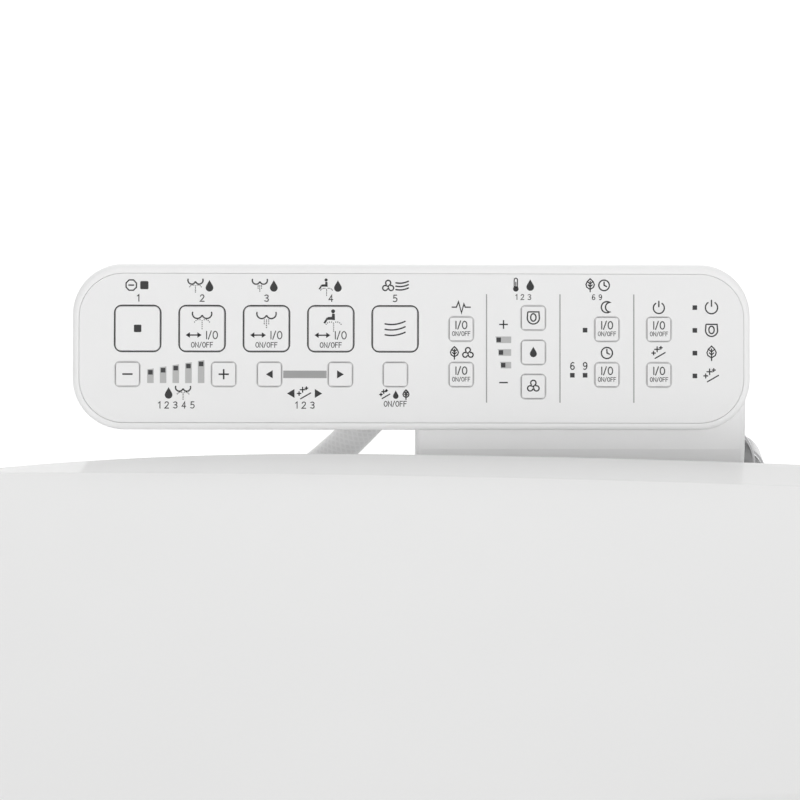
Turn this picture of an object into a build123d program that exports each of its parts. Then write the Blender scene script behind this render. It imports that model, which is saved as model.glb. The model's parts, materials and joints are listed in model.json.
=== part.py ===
import os
from math import acos, cos, pi, radians, sin, tan

from build123d import *

# X to the sitter's left, Y to the rear, Z up; the origin lies midway between the fixing holes, on the rim

# Fixing to the bowl
hole_spacing = 140.0
hole_r = 4.5
plate_thick = 7.0
plate_front = 40.0
plate_rear = 45.0
plate_margin = 30.0

# Reach and widths
front_reach = 470.0
rear_reach = 57.0
lid_half_width = 195.0
lid_rear_half_width = 178.0
widest_y = -223.0
rear_half_width = 182.0
block_front = -104.0
rear_front = 1.0

# Heights
body_floor = 2.0
split_z = 30.0
block_front_top = 88.0
rear_top = 113.0
skirt_z = 30.0

# Hinge
hinge_y = -30.0
hinge_z = 88.0
barrel_r = 14.0
lid_round_r = 26.0
shaft_r = 5.0
run_gap = 0.05
knuckle_r = 10.0
lid_boss_r = 9.0
lid_boss_inset = 8.0
lid_boss_width = 18.0
seat_arm_width = 20.0
arm_gap = 2.0
block_gap = 4.0
lid_boss_out = lid_rear_half_width - lid_boss_inset
lid_boss_in = lid_boss_out - lid_boss_width
seat_arm_out = lid_boss_in - arm_gap
seat_arm_in = seat_arm_out - seat_arm_width
block_half_width = seat_arm_in - block_gap

# Lid
lid_wall = 3.5
lid_rise = 20.0
lid_crown = 6.0
lid_slope = 5.2
crease_rear = 125.5
crease_mid = 140.5
crease_front = 140.0
band_slope = 12.2

# Seat
seat_inset = 6.0
seat_rear = -108.0
seat_base_z = 9.0
seat_split_z = 15.0
seat_top_z = 38.0
seat_wall = 5.0
ring_side = 84.0
ring_front = 49.0
opening_rear = -151.0
opening_front = seat_inset + ring_front - front_reach
opening_half_width = lid_half_width - seat_inset - ring_side
opening_half_length = (opening_rear - opening_front) / 2
opening_y = (opening_rear + opening_front) / 2
bridge_front = -170.0
bridge_half_width = 86.0
bridge_z = 30.0
pad_r = 7.0
pad_gap = 0.3
post_height = 4.0
front_pad_x = 75.0
front_pad_inset = 60.0
side_pad_inset = 50.0
side_pad_y = widest_y - 27.0
seat_pad_width = 18.0
seat_pad_length = 30.0
seat_pad_y = widest_y + 28.0

# Wall thickness of the body
wall = 2.6

# Side arm
rail_gap = 4.0
rail_in = max(lid_half_width, rear_half_width) + rail_gap
rail_out = 236.0
rail_bottom = 12.0
rail_top = 62.0
rail_rear = rear_reach - 5.0
rail_wall = 3.0
neck_setback = 10.0
neck_back = 8.0
neck_lean = 8.0
neck_round = 2.0
neck_face = rail_out - neck_setback

# Panel
panel_setback = 1.2
panel_x = panel_setback - rail_out
panel_y = -195.0
panel_z = 114.0
panel_tilt = 22.0
panel_run = 5.0
panel_width = 291.4
panel_height = 71.3
panel_corner = 22.0
bezel_depth = 9.0
back_depth = 9.0
border = 3.0
top_extra = 1.4
sheet_thick = 1.2
sheet_gap = 0.12
big_key = 18.9
small_key = 10.0
key_gap = 0.25
key_corner = 0.12
key_proud = 0.5
key_travel = 0.8
rail_front = panel_y + 6.4
neck_rear = panel_y + panel_width / 2 + 3.3

# Wand
wand_r = 7.0
wand_tail = 8.0
wand_slope = 16.0
wand_tip_z = 17.0
wand_travel = 70.0
gear_module = 1.5
gear_teeth = 16
gear_p = 27.0
wand_length = gear_p + wand_travel + wand_tail

# Supply hose
hose_r = 7.5
nut_r = 12.0
hose_stand = 26.0
hose_x = -rail_out - hose_stand
hose_end_y = -440.0
hose_bend = 80.0
hose_rise = 25.0
hose_peak_y = -172.0
hose_foot_y = -248.9
hose_foot_z = 15.0
hose_tail_y = -327.9
hose_lead = 27.0
elbow_y = neck_rear + 1.0
elbow_z = 60.0
elbow_r = 13.5
elbow_half = 9.0
elbow_stub = 15.0
flange_r = 22.0
flange_thick = 5.0


def box(x0, x1, y0, y1, z0, z1):
    """A box between two corners."""
    return Pos((x0 + x1) / 2, (y0 + y1) / 2, (z0 + z1) / 2) * Box(x1 - x0, y1 - y0, z1 - z0)


def rod_x(r, x0, x1, y, z):
    """A round bar along X."""
    return Pos((x0 + x1) / 2, y, z) * Rot(0, 90, 0) * Cylinder(r, abs(x1 - x0))


def rod_y(r, y0, y1, x, z):
    """A round bar along Y."""
    return Pos(x, (y0 + y1) / 2, z) * Rot(90, 0, 0) * Cylinder(r, y1 - y0)


def rod_z(r, z0, z1, x, y):
    """A round bar along Z."""
    return Pos(x, y, (z0 + z1) / 2) * Cylinder(r, z1 - z0)


def outline_face(points):
    """A flat face inside a closed run of straight edges."""
    return make_face(Polyline(*points, close=True).edges())


def side_prism(points, x0, x1):
    """A prism along X whose outline is given as (y, z) points."""
    return extrude(Plane.YZ.offset(x0) * outline_face(points), x1 - x0)


def end_prism(points, y0, y1):
    """A prism along Y whose outline is given as (x, z) points."""
    return extrude(Plane.XZ.offset(-y1) * outline_face(points), y1 - y0)


def both_sides(part):
    """A part and its mirror image across the middle plane."""
    return part + mirror(part, Plane.YZ)


def save(name, part):
    """Writes one piece."""
    export_step(part, f"parts/{name}.step")


os.makedirs("parts", exist_ok=True)
hole_x = hole_spacing / 2
axis_rear = hinge_y + lid_round_r


# Lid
def lid_outline(inset):
    """Plan outline of the lid, drawn in by an inset."""
    w = lid_half_width - inset
    rear_w = lid_rear_half_width - inset
    rear_y = hinge_y + 40
    nose = EllipticalCenterArc((0, widest_y), w, front_reach + widest_y - inset, 180, arc_size=180)
    left = TangentArc((w, widest_y), (rear_w, rear_y), tangent=(0, 1))
    right = TangentArc((-w, widest_y), (-rear_w, rear_y), tangent=(0, 1))
    rear = Line((rear_w, rear_y), (-rear_w, rear_y))
    return make_face([nose, left, rear, right])


def crease_z(y):
    """Height of the lid's crease at a station."""
    return hinge_z + lid_rise + tan(radians(lid_slope)) * (y - hinge_y)


def crease_x(y):
    """Half width of the lid's crease at a station."""
    if y > widest_y:
        return crease_mid + (crease_rear - crease_mid) * (y - widest_y) / (hinge_y - widest_y)
    return crease_mid + (crease_front - crease_mid) * (widest_y - y) / (front_reach + widest_y)


def lid_section(y, drop, low):
    """Cross-section of the lid at a station, lowered by a drop and closed off at a low level."""
    z = crease_z(y) - drop
    c = crease_x(y)
    far = lid_half_width + 40
    edge = z - (far - c) * tan(radians(band_slope))
    rim = Polyline((c, z), (far, edge), (far, low), (-far, low), (-far, edge), (-c, z))
    crown = ThreePointArc((-c, z), (0, z + lid_crown), (c, z))
    return Plane.XZ.offset(-y) * make_face(rim.edges() + crown.edges())


def lid_top(drop, low):
    """Everything under the lid's top surface, lowered by a drop."""
    stations = [hinge_y + 40, widest_y, -front_reach - 20]
    return loft([lid_section(y, drop, low) for y in stations], ruled=True)


def lid_solid(inset, low):
    """The lid's outer shape, or the shape inside it when drawn in."""
    top = lid_top(inset, low)
    plan = extrude(Pos(0, 0, low - 1) * lid_outline(inset), hinge_z + 100)
    tip = -front_reach - 30
    r = lid_round_r - inset
    if inset == 0:
        under = [(hinge_y, hinge_z - r), (hinge_y - 45, low), (tip, low)]
    else:
        under = [(hinge_y, low), (tip, low)]
    side = under + [(tip, hinge_z + 60), (hinge_y, hinge_z + 60)]
    far = lid_half_width + 10
    profile = side_prism(side, -far, far) + rod_x(r, -far, far, hinge_y, hinge_z)
    return top & plan & profile


lid_outer = lid_solid(0, skirt_z)
lid = lid_outer - lid_solid(lid_wall, skirt_z - 20)
lip_z = hinge_z + lid_round_r - 9
clear_x = seat_arm_out + 1
under_lip = box(-clear_x, clear_x, hinge_y - 5, axis_rear + 1, hinge_z - 40, lip_z)
lid -= under_lip & lid_top(lid_wall, 0)
boss = rod_x(lid_boss_r, lid_boss_in, lid_boss_out, hinge_y, hinge_z)
boss += box(lid_boss_in, lid_boss_out, hinge_y - lid_boss_r, hinge_y + lid_boss_r, hinge_z, hinge_z + 40)
post_z = seat_top_z + post_height
lid_posts = [(lid_half_width - side_pad_inset, side_pad_y), (front_pad_x, front_pad_inset - front_reach)]
for x, y in lid_posts:
    boss += rod_z(pad_r, post_z, hinge_z + lid_rise, x, y)
lid += both_sides(boss) & lid_solid(lid_wall / 2, skirt_z - 20)
lid -= rod_x(shaft_r, lid_boss_in - 1, lid_boss_out + 1, hinge_y, hinge_z)
lid -= rod_x(shaft_r + run_gap, -lid_boss_out - 1, -lid_boss_in + 1, hinge_y, hinge_z)
save("lid", lid)
pads = [rod_z(pad_r, seat_top_z + pad_gap, post_z, side * x, y) for x, y in lid_posts for side in (-1, 1)]
save("lid_bumpers", Compound(children=pads))


# Seat
def seat_ring(inset, z0, z1):
    """A slice of the seat ring between two levels, drawn in at every edge."""
    ring = extrude(Pos(0, 0, z0) * lid_outline(seat_inset + inset), z1 - z0)
    ring -= box(-300, 300, seat_rear - inset, 100, z0 - 1, z1 + 1)
    hole = Ellipse(opening_half_width + inset, opening_half_length + inset)
    return ring - extrude(Pos(0, opening_y, z0 - 1) * hole, z1 - z0 + 2)


relief = box(-bridge_half_width, bridge_half_width, bridge_front, seat_rear + 1, 0, bridge_z)
seat_top = seat_ring(0, seat_split_z, seat_top_z)
seat_top = fillet(seat_top.edges().filter_by(Axis.Z).group_by(Axis.Y)[-1], 20)
seat_top = fillet(seat_top.edges().group_by(Axis.Z)[-1], 9)
hollow = seat_ring(seat_wall, seat_split_z - 1, seat_top_z - 4)
hollow -= box(-300, 300, bridge_front, 100, 0, 100)
seat_top -= hollow
seat_top -= relief
arm_side = [
    (seat_rear - 42, seat_split_z),
    (seat_rear - 10, seat_split_z),
    (hinge_y + 0.7 * knuckle_r, hinge_z - 0.7 * knuckle_r),
    (hinge_y - 0.7 * knuckle_r, hinge_z + 0.7 * knuckle_r),
    (seat_rear - 42, seat_top_z - 2),
]
seat_arm = side_prism(arm_side, seat_arm_in, seat_arm_out)
seat_arm += rod_x(knuckle_r, seat_arm_in, seat_arm_out, hinge_y, hinge_z)
seat_top += both_sides(seat_arm)
seat_top -= rod_x(shaft_r + run_gap, seat_arm_in - 1, seat_arm_out + 1, hinge_y, hinge_z)
seat_top -= rod_x(shaft_r, -seat_arm_out - 1, -seat_arm_in + 1, hinge_y, hinge_z)
save("seat_top", seat_top)

seat_bottom = seat_ring(1, seat_base_z, seat_split_z)
seat_bottom = fillet(seat_bottom.edges().filter_by(Axis.Z).group_by(Axis.Y)[-1], 20)
seat_bottom -= relief
save("seat_bottom", seat_bottom)

foil = seat_ring(seat_wall + 6, seat_top_z - 4.8, seat_top_z - 4)
foil -= box(-300, 300, bridge_front - 8, 100, 0, 100)
save("seat_heater", foil)

seat_pad = RectangleRounded(seat_pad_width, seat_pad_length, seat_pad_width / 3)
seat_pad_spots = [
    (lid_half_width - side_pad_inset - pad_r, seat_pad_y),
    (front_pad_x, front_pad_inset - front_reach),
]
seat_pads = [
    extrude(Pos(side * x, y, 0) * seat_pad, seat_base_z)
    for x, y in seat_pad_spots
    for side in (-1, 1)
]
save("seat_bumpers", Compound(children=seat_pads))

# Hinge shafts and dampers
damper_out = block_half_width - wall
damper_in = damper_out - 56
bore_in = damper_in + 16
seat_shaft = rod_x(shaft_r, -lid_boss_out - 1, -bore_in - 1, hinge_y, hinge_z)
save("seat_hinge_shaft", seat_shaft)
lid_shaft = rod_x(shaft_r, bore_in + 1, lid_boss_out + 1, hinge_y, hinge_z)
save("lid_hinge_shaft", lid_shaft)
damper = rod_x(barrel_r - wall - 0.3, damper_in, damper_out, hinge_y, hinge_z)
damper -= rod_x(shaft_r + run_gap, bore_in, damper_out + 1, hinge_y, hinge_z)
save("hinge_dampers", Compound(children=[damper, mirror(damper, Plane.YZ)]))


# Body cover
def block_profile(t):
    """Side outline of the central block with the hinge barrel, drawn in by a thickness."""
    top = hinge_z + barrel_r - t
    low = hinge_z - barrel_r + t
    groove = hinge_z - lid_round_r - 2 - t
    step = [(hinge_y - t, low)] if t else []
    points = [
        (hinge_y, low),
        *step,
        (hinge_y - t, groove),
        (rear_front + 5, groove),
        (rear_front + 5, split_z),
        (block_front + t, split_z),
        (block_front + t, block_front_top - t),
        (hinge_y, top),
    ]
    run = Polyline(*points)
    barrel = ThreePointArc((hinge_y, top), (hinge_y + barrel_r - t, hinge_z), (hinge_y, low))
    return make_face(run.edges() + barrel.edges())


def block(t):
    """The central block."""
    w = block_half_width - t
    return extrude(Plane.YZ.offset(-w) * block_profile(t), 2 * w)


def rear_box(t, z0, z1):
    """The rear part of the body behind the lid, with round rear corners."""
    w = rear_half_width - t
    part = box(-w, w, rear_front + t, rear_reach - t, z0, z1)
    return fillet(part.edges().filter_by(Axis.Z).group_by(Axis.Y)[-1], 14 - t)


rear_outer = rear_box(0, split_z, rear_top)
rear_outer = fillet(rear_outer.edges().group_by(Axis.Z)[-1], 8)
cover = block(0) + rear_outer - block(wall) - rear_box(wall, split_z - 1, rear_top - wall)
for side in (-1, 1):
    end = side * (block_half_width + 1)
    cover -= rod_x(shaft_r + 0.6, end - side * 5, end, hinge_y, hinge_z)
filter_y0 = 15.0
filter_y1 = 45.0
filter_z0 = split_z + 4
filter_z1 = split_z + 30
cover -= box(rear_half_width - 8, rear_half_width + 1, filter_y0, filter_y1, filter_z0, filter_z1)
save("body_cover", cover)

# Base plate with its bolt adjusters
plate_half = hole_x + plate_margin
plate = box(-plate_half, plate_half, -plate_front, plate_rear, 0, plate_thick)
plate = fillet(plate.edges().filter_by(Axis.Z), 10)
insert = extrude(RectangleRounded(26, 44, 6), plate_thick)
for side in (-1, 1):
    plate -= Pos(side * hole_x, 0, 0) * insert
save("base_plate", plate)
adjusters = [
    Pos(side * hole_x, 0, 0) * insert - rod_z(hole_r, -1, plate_thick + 1, side * hole_x, 0)
    for side in (-1, 1)
]
save("bolt_adjusters", Compound(children=adjusters))

# Wand placed along its sloping line: p runs back from the tip, h runs up from the centre line
slope_c = cos(radians(wand_slope))
slope_s = sin(radians(wand_slope))


def wand_point(p, h):
    """The (y, z) point on the wand's middle plane."""
    return block_front + p * slope_c - h * slope_s, wand_tip_z + p * slope_s + h * slope_c


wand_plane = Plane(
    origin=(0, block_front, wand_tip_z),
    x_dir=(1, 0, 0),
    z_dir=(0, slope_c, slope_s),
)
wand_line = wand_plane.location


def wand_bar(r, p0, p1):
    """A round bar along the wand's line."""
    return wand_line * Pos(0, 0, (p0 + p1) / 2) * Cylinder(r, p1 - p0)


pitch_r = gear_module * gear_teeth / 2
tooth_pitch = pi * gear_module
addendum = 0.85 * gear_module
dedendum = 1.2 * gear_module
backlash = 0.12
rack_h = wand_r + 2
rack_half = 2.5

# Body base
base = box(-block_half_width, block_half_width, block_front, rear_front + 5, body_floor, split_z)
base += rear_box(0, body_floor, split_z)
inner = box(
    -block_half_width + wall,
    block_half_width - wall,
    block_front + wall,
    rear_front + 5,
    body_floor + wall,
    split_z + 1,
)
base -= inner
base -= rear_box(wall, body_floor + wall, split_z + 1)
base += box(
    -plate_half - wall,
    plate_half + wall,
    -plate_front - wall,
    plate_rear + wall,
    body_floor,
    plate_thick + wall,
)
for side in (-1, 1):
    base += rod_z(13 + wall, body_floor, 24 + wall, side * hole_x, 0)
gap = 0.3
base -= box(-plate_half - gap, plate_half + gap, -plate_front - gap, plate_rear + gap, 0, plate_thick)
for side in (-1, 1):
    base -= rod_z(13, plate_thick - 1, 24, side * hole_x, 0)
base -= wand_bar(wand_r + 0.6, -10, 8)
notch = box(-rack_half - 0.6, rack_half + 0.6, -rack_h - addendum - 0.6, 0, -10, 8)
base -= wand_line * notch
duct_x0 = 42.0
duct_x1 = 78.0
vent_z0 = 8.0
vent_z1 = 26.0
base -= box(duct_x0 + 2, duct_x1 - 2, block_front - 1, block_front + wall + 1, vent_z0, vent_z1)
flap_y = block_front + 1.1
flap_z = vent_z1 - 1.8
base -= rod_x(0.85, duct_x0 + 0.4, duct_x1 - 0.4, flap_y, flap_z)
button_y0 = 22.0
button_y1 = 42.0
base -= box(rear_half_width - wall - 1, rear_half_width + 1, button_y0, button_y1, 10, 22)
drain_x = 42.0 - rear_half_width
drain_z = 17.0
drain_r = 8.0
base -= rod_y(drain_r + run_gap, rear_reach - wall - 1, rear_reach + 1, drain_x, drain_z)
spin_x = hole_x + 25
spin_y = 31.0
base += rod_z(3, plate_thick + wall, filter_z0, spin_x, spin_y)
gland = rod_y(6, rear_reach - 1, rear_reach + 2, -drain_x, drain_z)
base += gland - rod_y(3.5, rear_reach, rear_reach + 3, -drain_x, drain_z)
screw_inset = 10.0
body_screws = [
    (block_half_width - screw_inset, block_front + screw_inset),
    (block_half_width - screw_inset, -plate_front - screw_inset),
    (rear_half_width - screw_inset - 4, rear_front + screw_inset + 1),
]
for x, y in body_screws:
    for side in (-1, 1):
        base += rod_z(5, body_floor, split_z, side * x, y)
        base -= rod_z(3.5, body_floor - 1, body_floor + wall, side * x, y)
        base -= rod_z(1.5, body_floor, split_z - 6, side * x, y)
save("body_base", base)
foot_spots = [
    (block_half_width - 14, (block_front - plate_front) / 2, 16.0, 24.0),
    (rear_half_width - 32, rear_reach - 21, 36.0, 18.0),
]
pads = [
    extrude(Pos(side * x, y, 0) * RectangleRounded(w, d, 3), body_floor)
    for x, y, w, d in foot_spots
    for side in (-1, 1)
]
save("body_feet", Compound(children=pads))

# Wand, nozzle head, guide, motor and pinion
gear_y, gear_z = wand_point(gear_p, rack_h + pitch_r)
head_length = 16.0
bar = wand_bar(wand_r, head_length, wand_length)
lean = tan(radians(20))
half_tooth = tooth_pitch / 4 - backlash / 2
first = gear_p - tooth_pitch / 2 - 2 * tooth_pitch
count = int((wand_length - 2 - first) / tooth_pitch)
teeth = [(head_length + 1, wand_r - 3), (head_length + 1, rack_h - dedendum)]
for i in range(count):
    mid = first + i * tooth_pitch
    if mid > head_length + 4:
        foot = half_tooth + dedendum * lean
        tip = half_tooth - addendum * lean
        teeth += [
            (mid - foot, rack_h - dedendum),
            (mid - tip, rack_h + addendum),
            (mid + tip, rack_h + addendum),
            (mid + foot, rack_h - dedendum),
        ]
teeth += [(wand_length, rack_h - dedendum), (wand_length, wand_r - 3)]
bar += side_prism([wand_point(p, h) for p, h in teeth], -rack_half, rack_half)
save("wand", bar)
head = wand_bar(wand_r, 3, head_length) + wand_bar(wand_r - 2, 0, 3)
for p in (6.0, 10.0):
    head -= wand_line * Pos(0, -wand_r, p) * Rot(90, 0, 0) * Cylinder(0.9, 6)
save("wand_tip", head)

guide_side = [
    wand_point(8, 4),
    wand_point(75, 4),
    wand_point(75, -wand_r - 3),
    (-plate_front - wall - 8, body_floor + wall),
    (block_front + 8, body_floor + wall),
]
guide = side_prism(guide_side, -wand_r - 3, wand_r + 3)
mount_in = wand_r + 1
mount_out = wand_r + 3
mount_plate = rod_x(14, -mount_out, -mount_in, gear_y, gear_z)
mount_side = [(gear_p - 10, 0), (gear_p + 10, 0), (gear_p + 10, 22), (gear_p - 10, 22)]
mount_plate += side_prism([wand_point(p, h) for p, h in mount_side], -mount_out, -mount_in)
guide += mount_plate
guide -= wand_bar(wand_r + run_gap, 0, 90)
guide -= rod_x(3, -mount_out - 1, -mount_in + 1, gear_y, gear_z)
save("wand_guide", guide)
motor = rod_x(12, -mount_out - 26, -mount_out, gear_y, gear_z)
motor += rod_x(2.5, -mount_out, 6, gear_y, gear_z)
save("wand_motor", motor)


def flank(r):
    """Half the angle a pinion tooth spans at a radius."""
    base_r = pitch_r * cos(radians(20))
    at_pitch = tan(radians(20)) - radians(20)
    if r <= base_r:
        return half_tooth / pitch_r + at_pitch
    a = acos(base_r / r)
    return half_tooth / pitch_r + at_pitch - (tan(a) - a)


root_r = pitch_r - dedendum
tip_r = pitch_r + addendum
radii = [root_r] + [pitch_r * cos(radians(20)) + 0.01 + i * 0.48 for i in range(4)] + [tip_r]
ring = []
for i in range(gear_teeth):
    middle = -pi / 2 + radians(wand_slope) + 2 * pi * i / gear_teeth
    rise = [(r, middle - flank(r)) for r in radii]
    fall = [(r, middle + flank(r)) for r in reversed(radii)]
    ring += [(gear_y + r * cos(a), gear_z + r * sin(a)) for r, a in rise + fall]
pinion = side_prism(ring, -3, 3) - rod_x(2.5 + run_gap, -4, 4, gear_y, gear_z)
save("wand_pinion", pinion)

# Dryer fan
fan_y = -62.0
fan_z = 48.0
fan_r = 27.0
floor_z = body_floor + wall
case = rod_x(fan_r, duct_x0, duct_x1, fan_y, fan_z)
case += box(duct_x0, duct_x1, block_front + wall, fan_y, floor_z, vent_z1 + 3)
case -= rod_x(fan_r - 2.5, duct_x0 + 2.5, duct_x1 - 2.5, fan_y, fan_z)
case -= box(duct_x0 + 2, duct_x1 - 2, block_front, fan_y, vent_z0 - 1, vent_z1 + 1)
case += rod_x(3, duct_x0 + 1, duct_x1 - 1, fan_y, fan_z)
case -= rod_x(10, duct_x1 - 3, duct_x1 + 1, fan_y, fan_z) - rod_x(4, duct_x1 - 5, duct_x1 + 2, fan_y, fan_z)
case += box(duct_x1 - 2.5, duct_x1, fan_y - 1.5, fan_y + 1.5, fan_z - 12, fan_z + 12)
save("dryer_fan_case", case)


def fan_wheel(r, hub_r, bore_r, width, blades):
    """A fan wheel about Z with flat blades, standing on its disc."""
    wheel = Pos(0, 0, 1) * Cylinder(r, 2) + Pos(0, 0, width / 2) * Cylinder(hub_r, width)
    blade = box(hub_r - 1, r, -0.9, 0.9, 0, width)
    for i in range(blades):
        wheel += Rot(0, 0, i * 360 / blades) * blade
    return wheel - Cylinder(bore_r, 4 * width)


dryer_wheel = Pos(duct_x0 + 6, fan_y, fan_z) * Rot(0, 90, 0) * fan_wheel(21, 7, 3 + run_gap, 22, 12)
save("dryer_impeller", dryer_wheel)
flap = box(duct_x0 + 2.4, duct_x1 - 2.4, block_front, block_front + 1.8, vent_z0 + 0.4, flap_z)
flap += rod_x(0.8, duct_x0 + 0.8, duct_x1 - 0.8, flap_y, flap_z)
save("dryer_flap", flap)

# Deodoriser
deo_z = plate_thick + wall + 6
deo_wheel = Pos(spin_x, spin_y, deo_z) * fan_wheel(17, 6, 3 + run_gap, filter_z0 - 1 - deo_z, 10)
save("deodoriser_impeller", deo_wheel)
drawer = box(
    rear_half_width - 58,
    rear_half_width,
    filter_y0 + 0.3,
    filter_y1 - 0.3,
    filter_z0 + 0.3,
    filter_z1 - 0.3,
)
drawer -= box(
    rear_half_width - 56,
    rear_half_width - 3,
    filter_y0 + 2.3,
    filter_y1 - 2.3,
    filter_z0 + 2.3,
    filter_z1 + 1,
)
cell = box(
    rear_half_width - 56,
    rear_half_width - 3,
    filter_y0 + 6,
    filter_y0 + 7.5,
    filter_z0 + 1,
    filter_z1 - 5,
)
for i in range(5):
    drawer += Pos(0, 4.0 * i, 0) * cell
drawer_face = rear_half_width + 2
drawer += box(rear_half_width, drawer_face, filter_y0 - 1, filter_y1 + 1, filter_z0 - 1, filter_z1 + 1)
drawer -= rod_z(6, filter_z0 + 8, filter_z1 - 8, rear_half_width + 5, (filter_y0 + filter_y1) / 2)
save("deodoriser_filter", drawer)

# Water parts inside the body
tank_x = 18.0 - block_half_width
tank_width = 58.0
tank_z = block_front_top - 12
tank = box(tank_x, tank_x + tank_width, block_front + wall + 3, hinge_y - 16, floor_z, tank_z)
tank = fillet(tank.edges().filter_by(Axis.Z), 8)
tank += rod_z(6, tank_z, tank_z + 4, tank_x + 38, (block_front + hinge_y) / 2 - 5)
save("water_heater_tank", tank)
pump_z = plate_thick + wall + 17
pump = rod_x(16, -hole_x - 40, -hole_x + 18, 35, pump_z)
pump += box(-hole_x - 24, -hole_x + 10, 24, plate_rear, plate_thick + wall, pump_z)
save("water_pump", pump)
valve_x = 36.0 - rear_half_width
valve_y = 32.0
valve = box(valve_x - 18, valve_x + 18, valve_y - 14, valve_y + 14, floor_z, 40)
valve += rod_z(10, 40, 64, valve_x, valve_y)
save("inlet_valve", valve)
board_y = rear_reach - wall - 5
board = box(-40, 100, board_y - 1.6, board_y, 40, 104)
board += box(-30, 5, board_y - 22, board_y - 1.6, 62, 96)
board += box(20, 52, board_y - 12, board_y - 1.6, 60, 84)
for x in (-30, 90):
    for z in (46, 98):
        board += rod_y(3, board_y, rear_reach - wall, x, z)
save("control_board", board)
drain = rod_y(drain_r, rear_reach - 6, rear_reach, drain_x, drain_z)
drain += rod_y(drain_r + 2, rear_reach + 0.3, rear_reach + 2.5, drain_x, drain_z)
drain += rod_y(drain_r, rear_reach - 1, rear_reach + 1, drain_x, drain_z)
drain -= box(drain_x - 7, drain_x + 7, rear_reach + 1, rear_reach + 3, drain_z - 1, drain_z + 1)
save("drain_plug", drain)
edge = 0.25
button_end = rear_half_width + 4
button = box(rear_half_width - 4, button_end, button_y0 + edge, button_y1 - edge, 10 + edge, 22 - edge)
button += box(rear_half_width - 6, rear_half_width - wall - 0.4, button_y0 - 1.5, button_y1 + 1.5, 8, 24)
save("release_button", button)

# Control panel in its own plane: x along the panel to the rear, y up it, z out of its face
tilt_c = cos(radians(panel_tilt))
tilt_s = sin(radians(panel_tilt))
run_c = cos(radians(panel_run))
run_s = sin(radians(panel_run))
panel_plane = Plane(
    origin=(panel_x, panel_y, panel_z),
    x_dir=(0, run_c, run_s),
    z_dir=(tilt_c, -tilt_s * run_s, tilt_s * run_c),
)
panel = panel_plane.location


def slab(w, h, r, z0, z1):
    """A slab with round corners in the panel's plane."""
    return extrude(Pos(0, 0, z0) * RectangleRounded(w, h, r), z1 - z0)


# Columns and rows in hundredths of the panel's width and height
col = panel_width / 100
row = panel_height / 100
row_up = 10.66 * row
row_low = -16.83 * row
first_big = -40.395 * col
big_pitch = 9.471 * col
heat_col = 17.88 * col
saver_col = 28.758 * col
end_col = 36.444 * col
keys = {
    "key_stop": (first_big, row_up, big_key),
    "key_rear_wash": (first_big + big_pitch, row_up, big_key),
    "key_soft_wash": (first_big + 2 * big_pitch, row_up, big_key),
    "key_front_wash": (first_big + 3 * big_pitch, row_up, big_key),
    "key_dryer": (first_big + 4 * big_pitch, row_up, big_key),
    "key_pressure_down": (-41.868 * col, row_low, small_key),
    "key_pressure_up": (-27.726 * col, row_low, small_key),
    "key_wand_forward": (-20.999 * col, row_low, small_key),
    "key_wand_back": (-10.569 * col, row_low, small_key),
    "key_wand_rinse": (-2.468 * col, row_low, small_key),
    "key_pulsate": (7.241 * col, row_up, small_key),
    "key_deodoriser": (7.241 * col, row_low, small_key),
    "key_seat_heat": (heat_col, 17.39 * row, small_key),
    "key_water_heat": (heat_col, -3.366 * row, small_key),
    "key_dryer_heat": (heat_col, -23.98 * row, small_key),
    "key_auto_saver": (saver_col, row_up, small_key),
    "key_timer_saver": (saver_col, row_low, small_key),
    "key_power": (end_col, row_up, small_key),
    "key_wand_clean": (end_col, row_low, small_key),
}
lamps = [((-38.504 + 1.862 * i) * col, (-15.7 + 1.262 * i) * row) for i in range(5)]
lamps += [((12.768 + 0.335 * i) * col, (4.21 - 7.64 * i) * row) for i in range(3)]
lamps += [(25.532 * col, 10.1 * row), (23.646 * col, -17.11 * row), (25.532 * col, -17.11 * row)]
lamps += [(41.765 * col, (23.84 - 13.745 * i) * row) for i in range(4)]
lamp_size = 2.0

bezel_outer = slab(panel_width, panel_height, panel_corner, -bezel_depth, 0)
bezel_outer = fillet(bezel_outer.edges().group_by(Axis.Z)[-1], 2.5)
sheet_width = panel_width - 2 * border
sheet_height = panel_height - 2 * border - top_extra
sheet_corner = panel_corner - border
sheet_place = Pos(0, -top_extra / 2, 0)
bezel = bezel_outer - sheet_place * slab(
    sheet_width + 2 * sheet_gap,
    sheet_height + 2 * sheet_gap,
    sheet_corner + sheet_gap,
    -sheet_thick,
    1,
)
bezel -= slab(panel_width - 14, panel_height - 14, panel_corner - 7, -bezel_depth - 1, 1)
save("panel_bezel", panel * bezel)

sheet = sheet_place * slab(sheet_width, sheet_height, sheet_corner, -sheet_thick, 0)
switches = []
for name, (s, v, size) in keys.items():
    hole = RectangleRounded(size + 2 * key_gap, size + 2 * key_gap, key_corner * size + key_gap)
    sheet -= extrude(Pos(s, v, -sheet_thick - 1) * hole, sheet_thick + 2)
    top = RectangleRounded(size, size, key_corner * size)
    cap = extrude(Pos(s, v, -sheet_thick - 0.4) * top, sheet_thick + 0.4 + key_proud)
    cap = fillet(cap.edges().group_by(Axis.Z)[-1], 0.35)
    flange = RectangleRounded(size + 1.4, size + 1.4, key_corner * size + 0.7)
    cap += extrude(Pos(s, v, -sheet_thick - 1.4) * flange, 1.0)
    cap += rod_z(1.5, -sheet_thick - 2.0, -sheet_thick - 1.4, s, v)
    save(name, panel * cap)
    plunger = -sheet_thick - key_travel - 2.2
    switch = box(s - 3, s + 3, v - 3, v + 3, -bezel_depth + 1, plunger - 0.4)
    switches.append(switch + rod_z(1.6, plunger - 0.4, plunger, s, v))
half = lamp_size / 2
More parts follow.
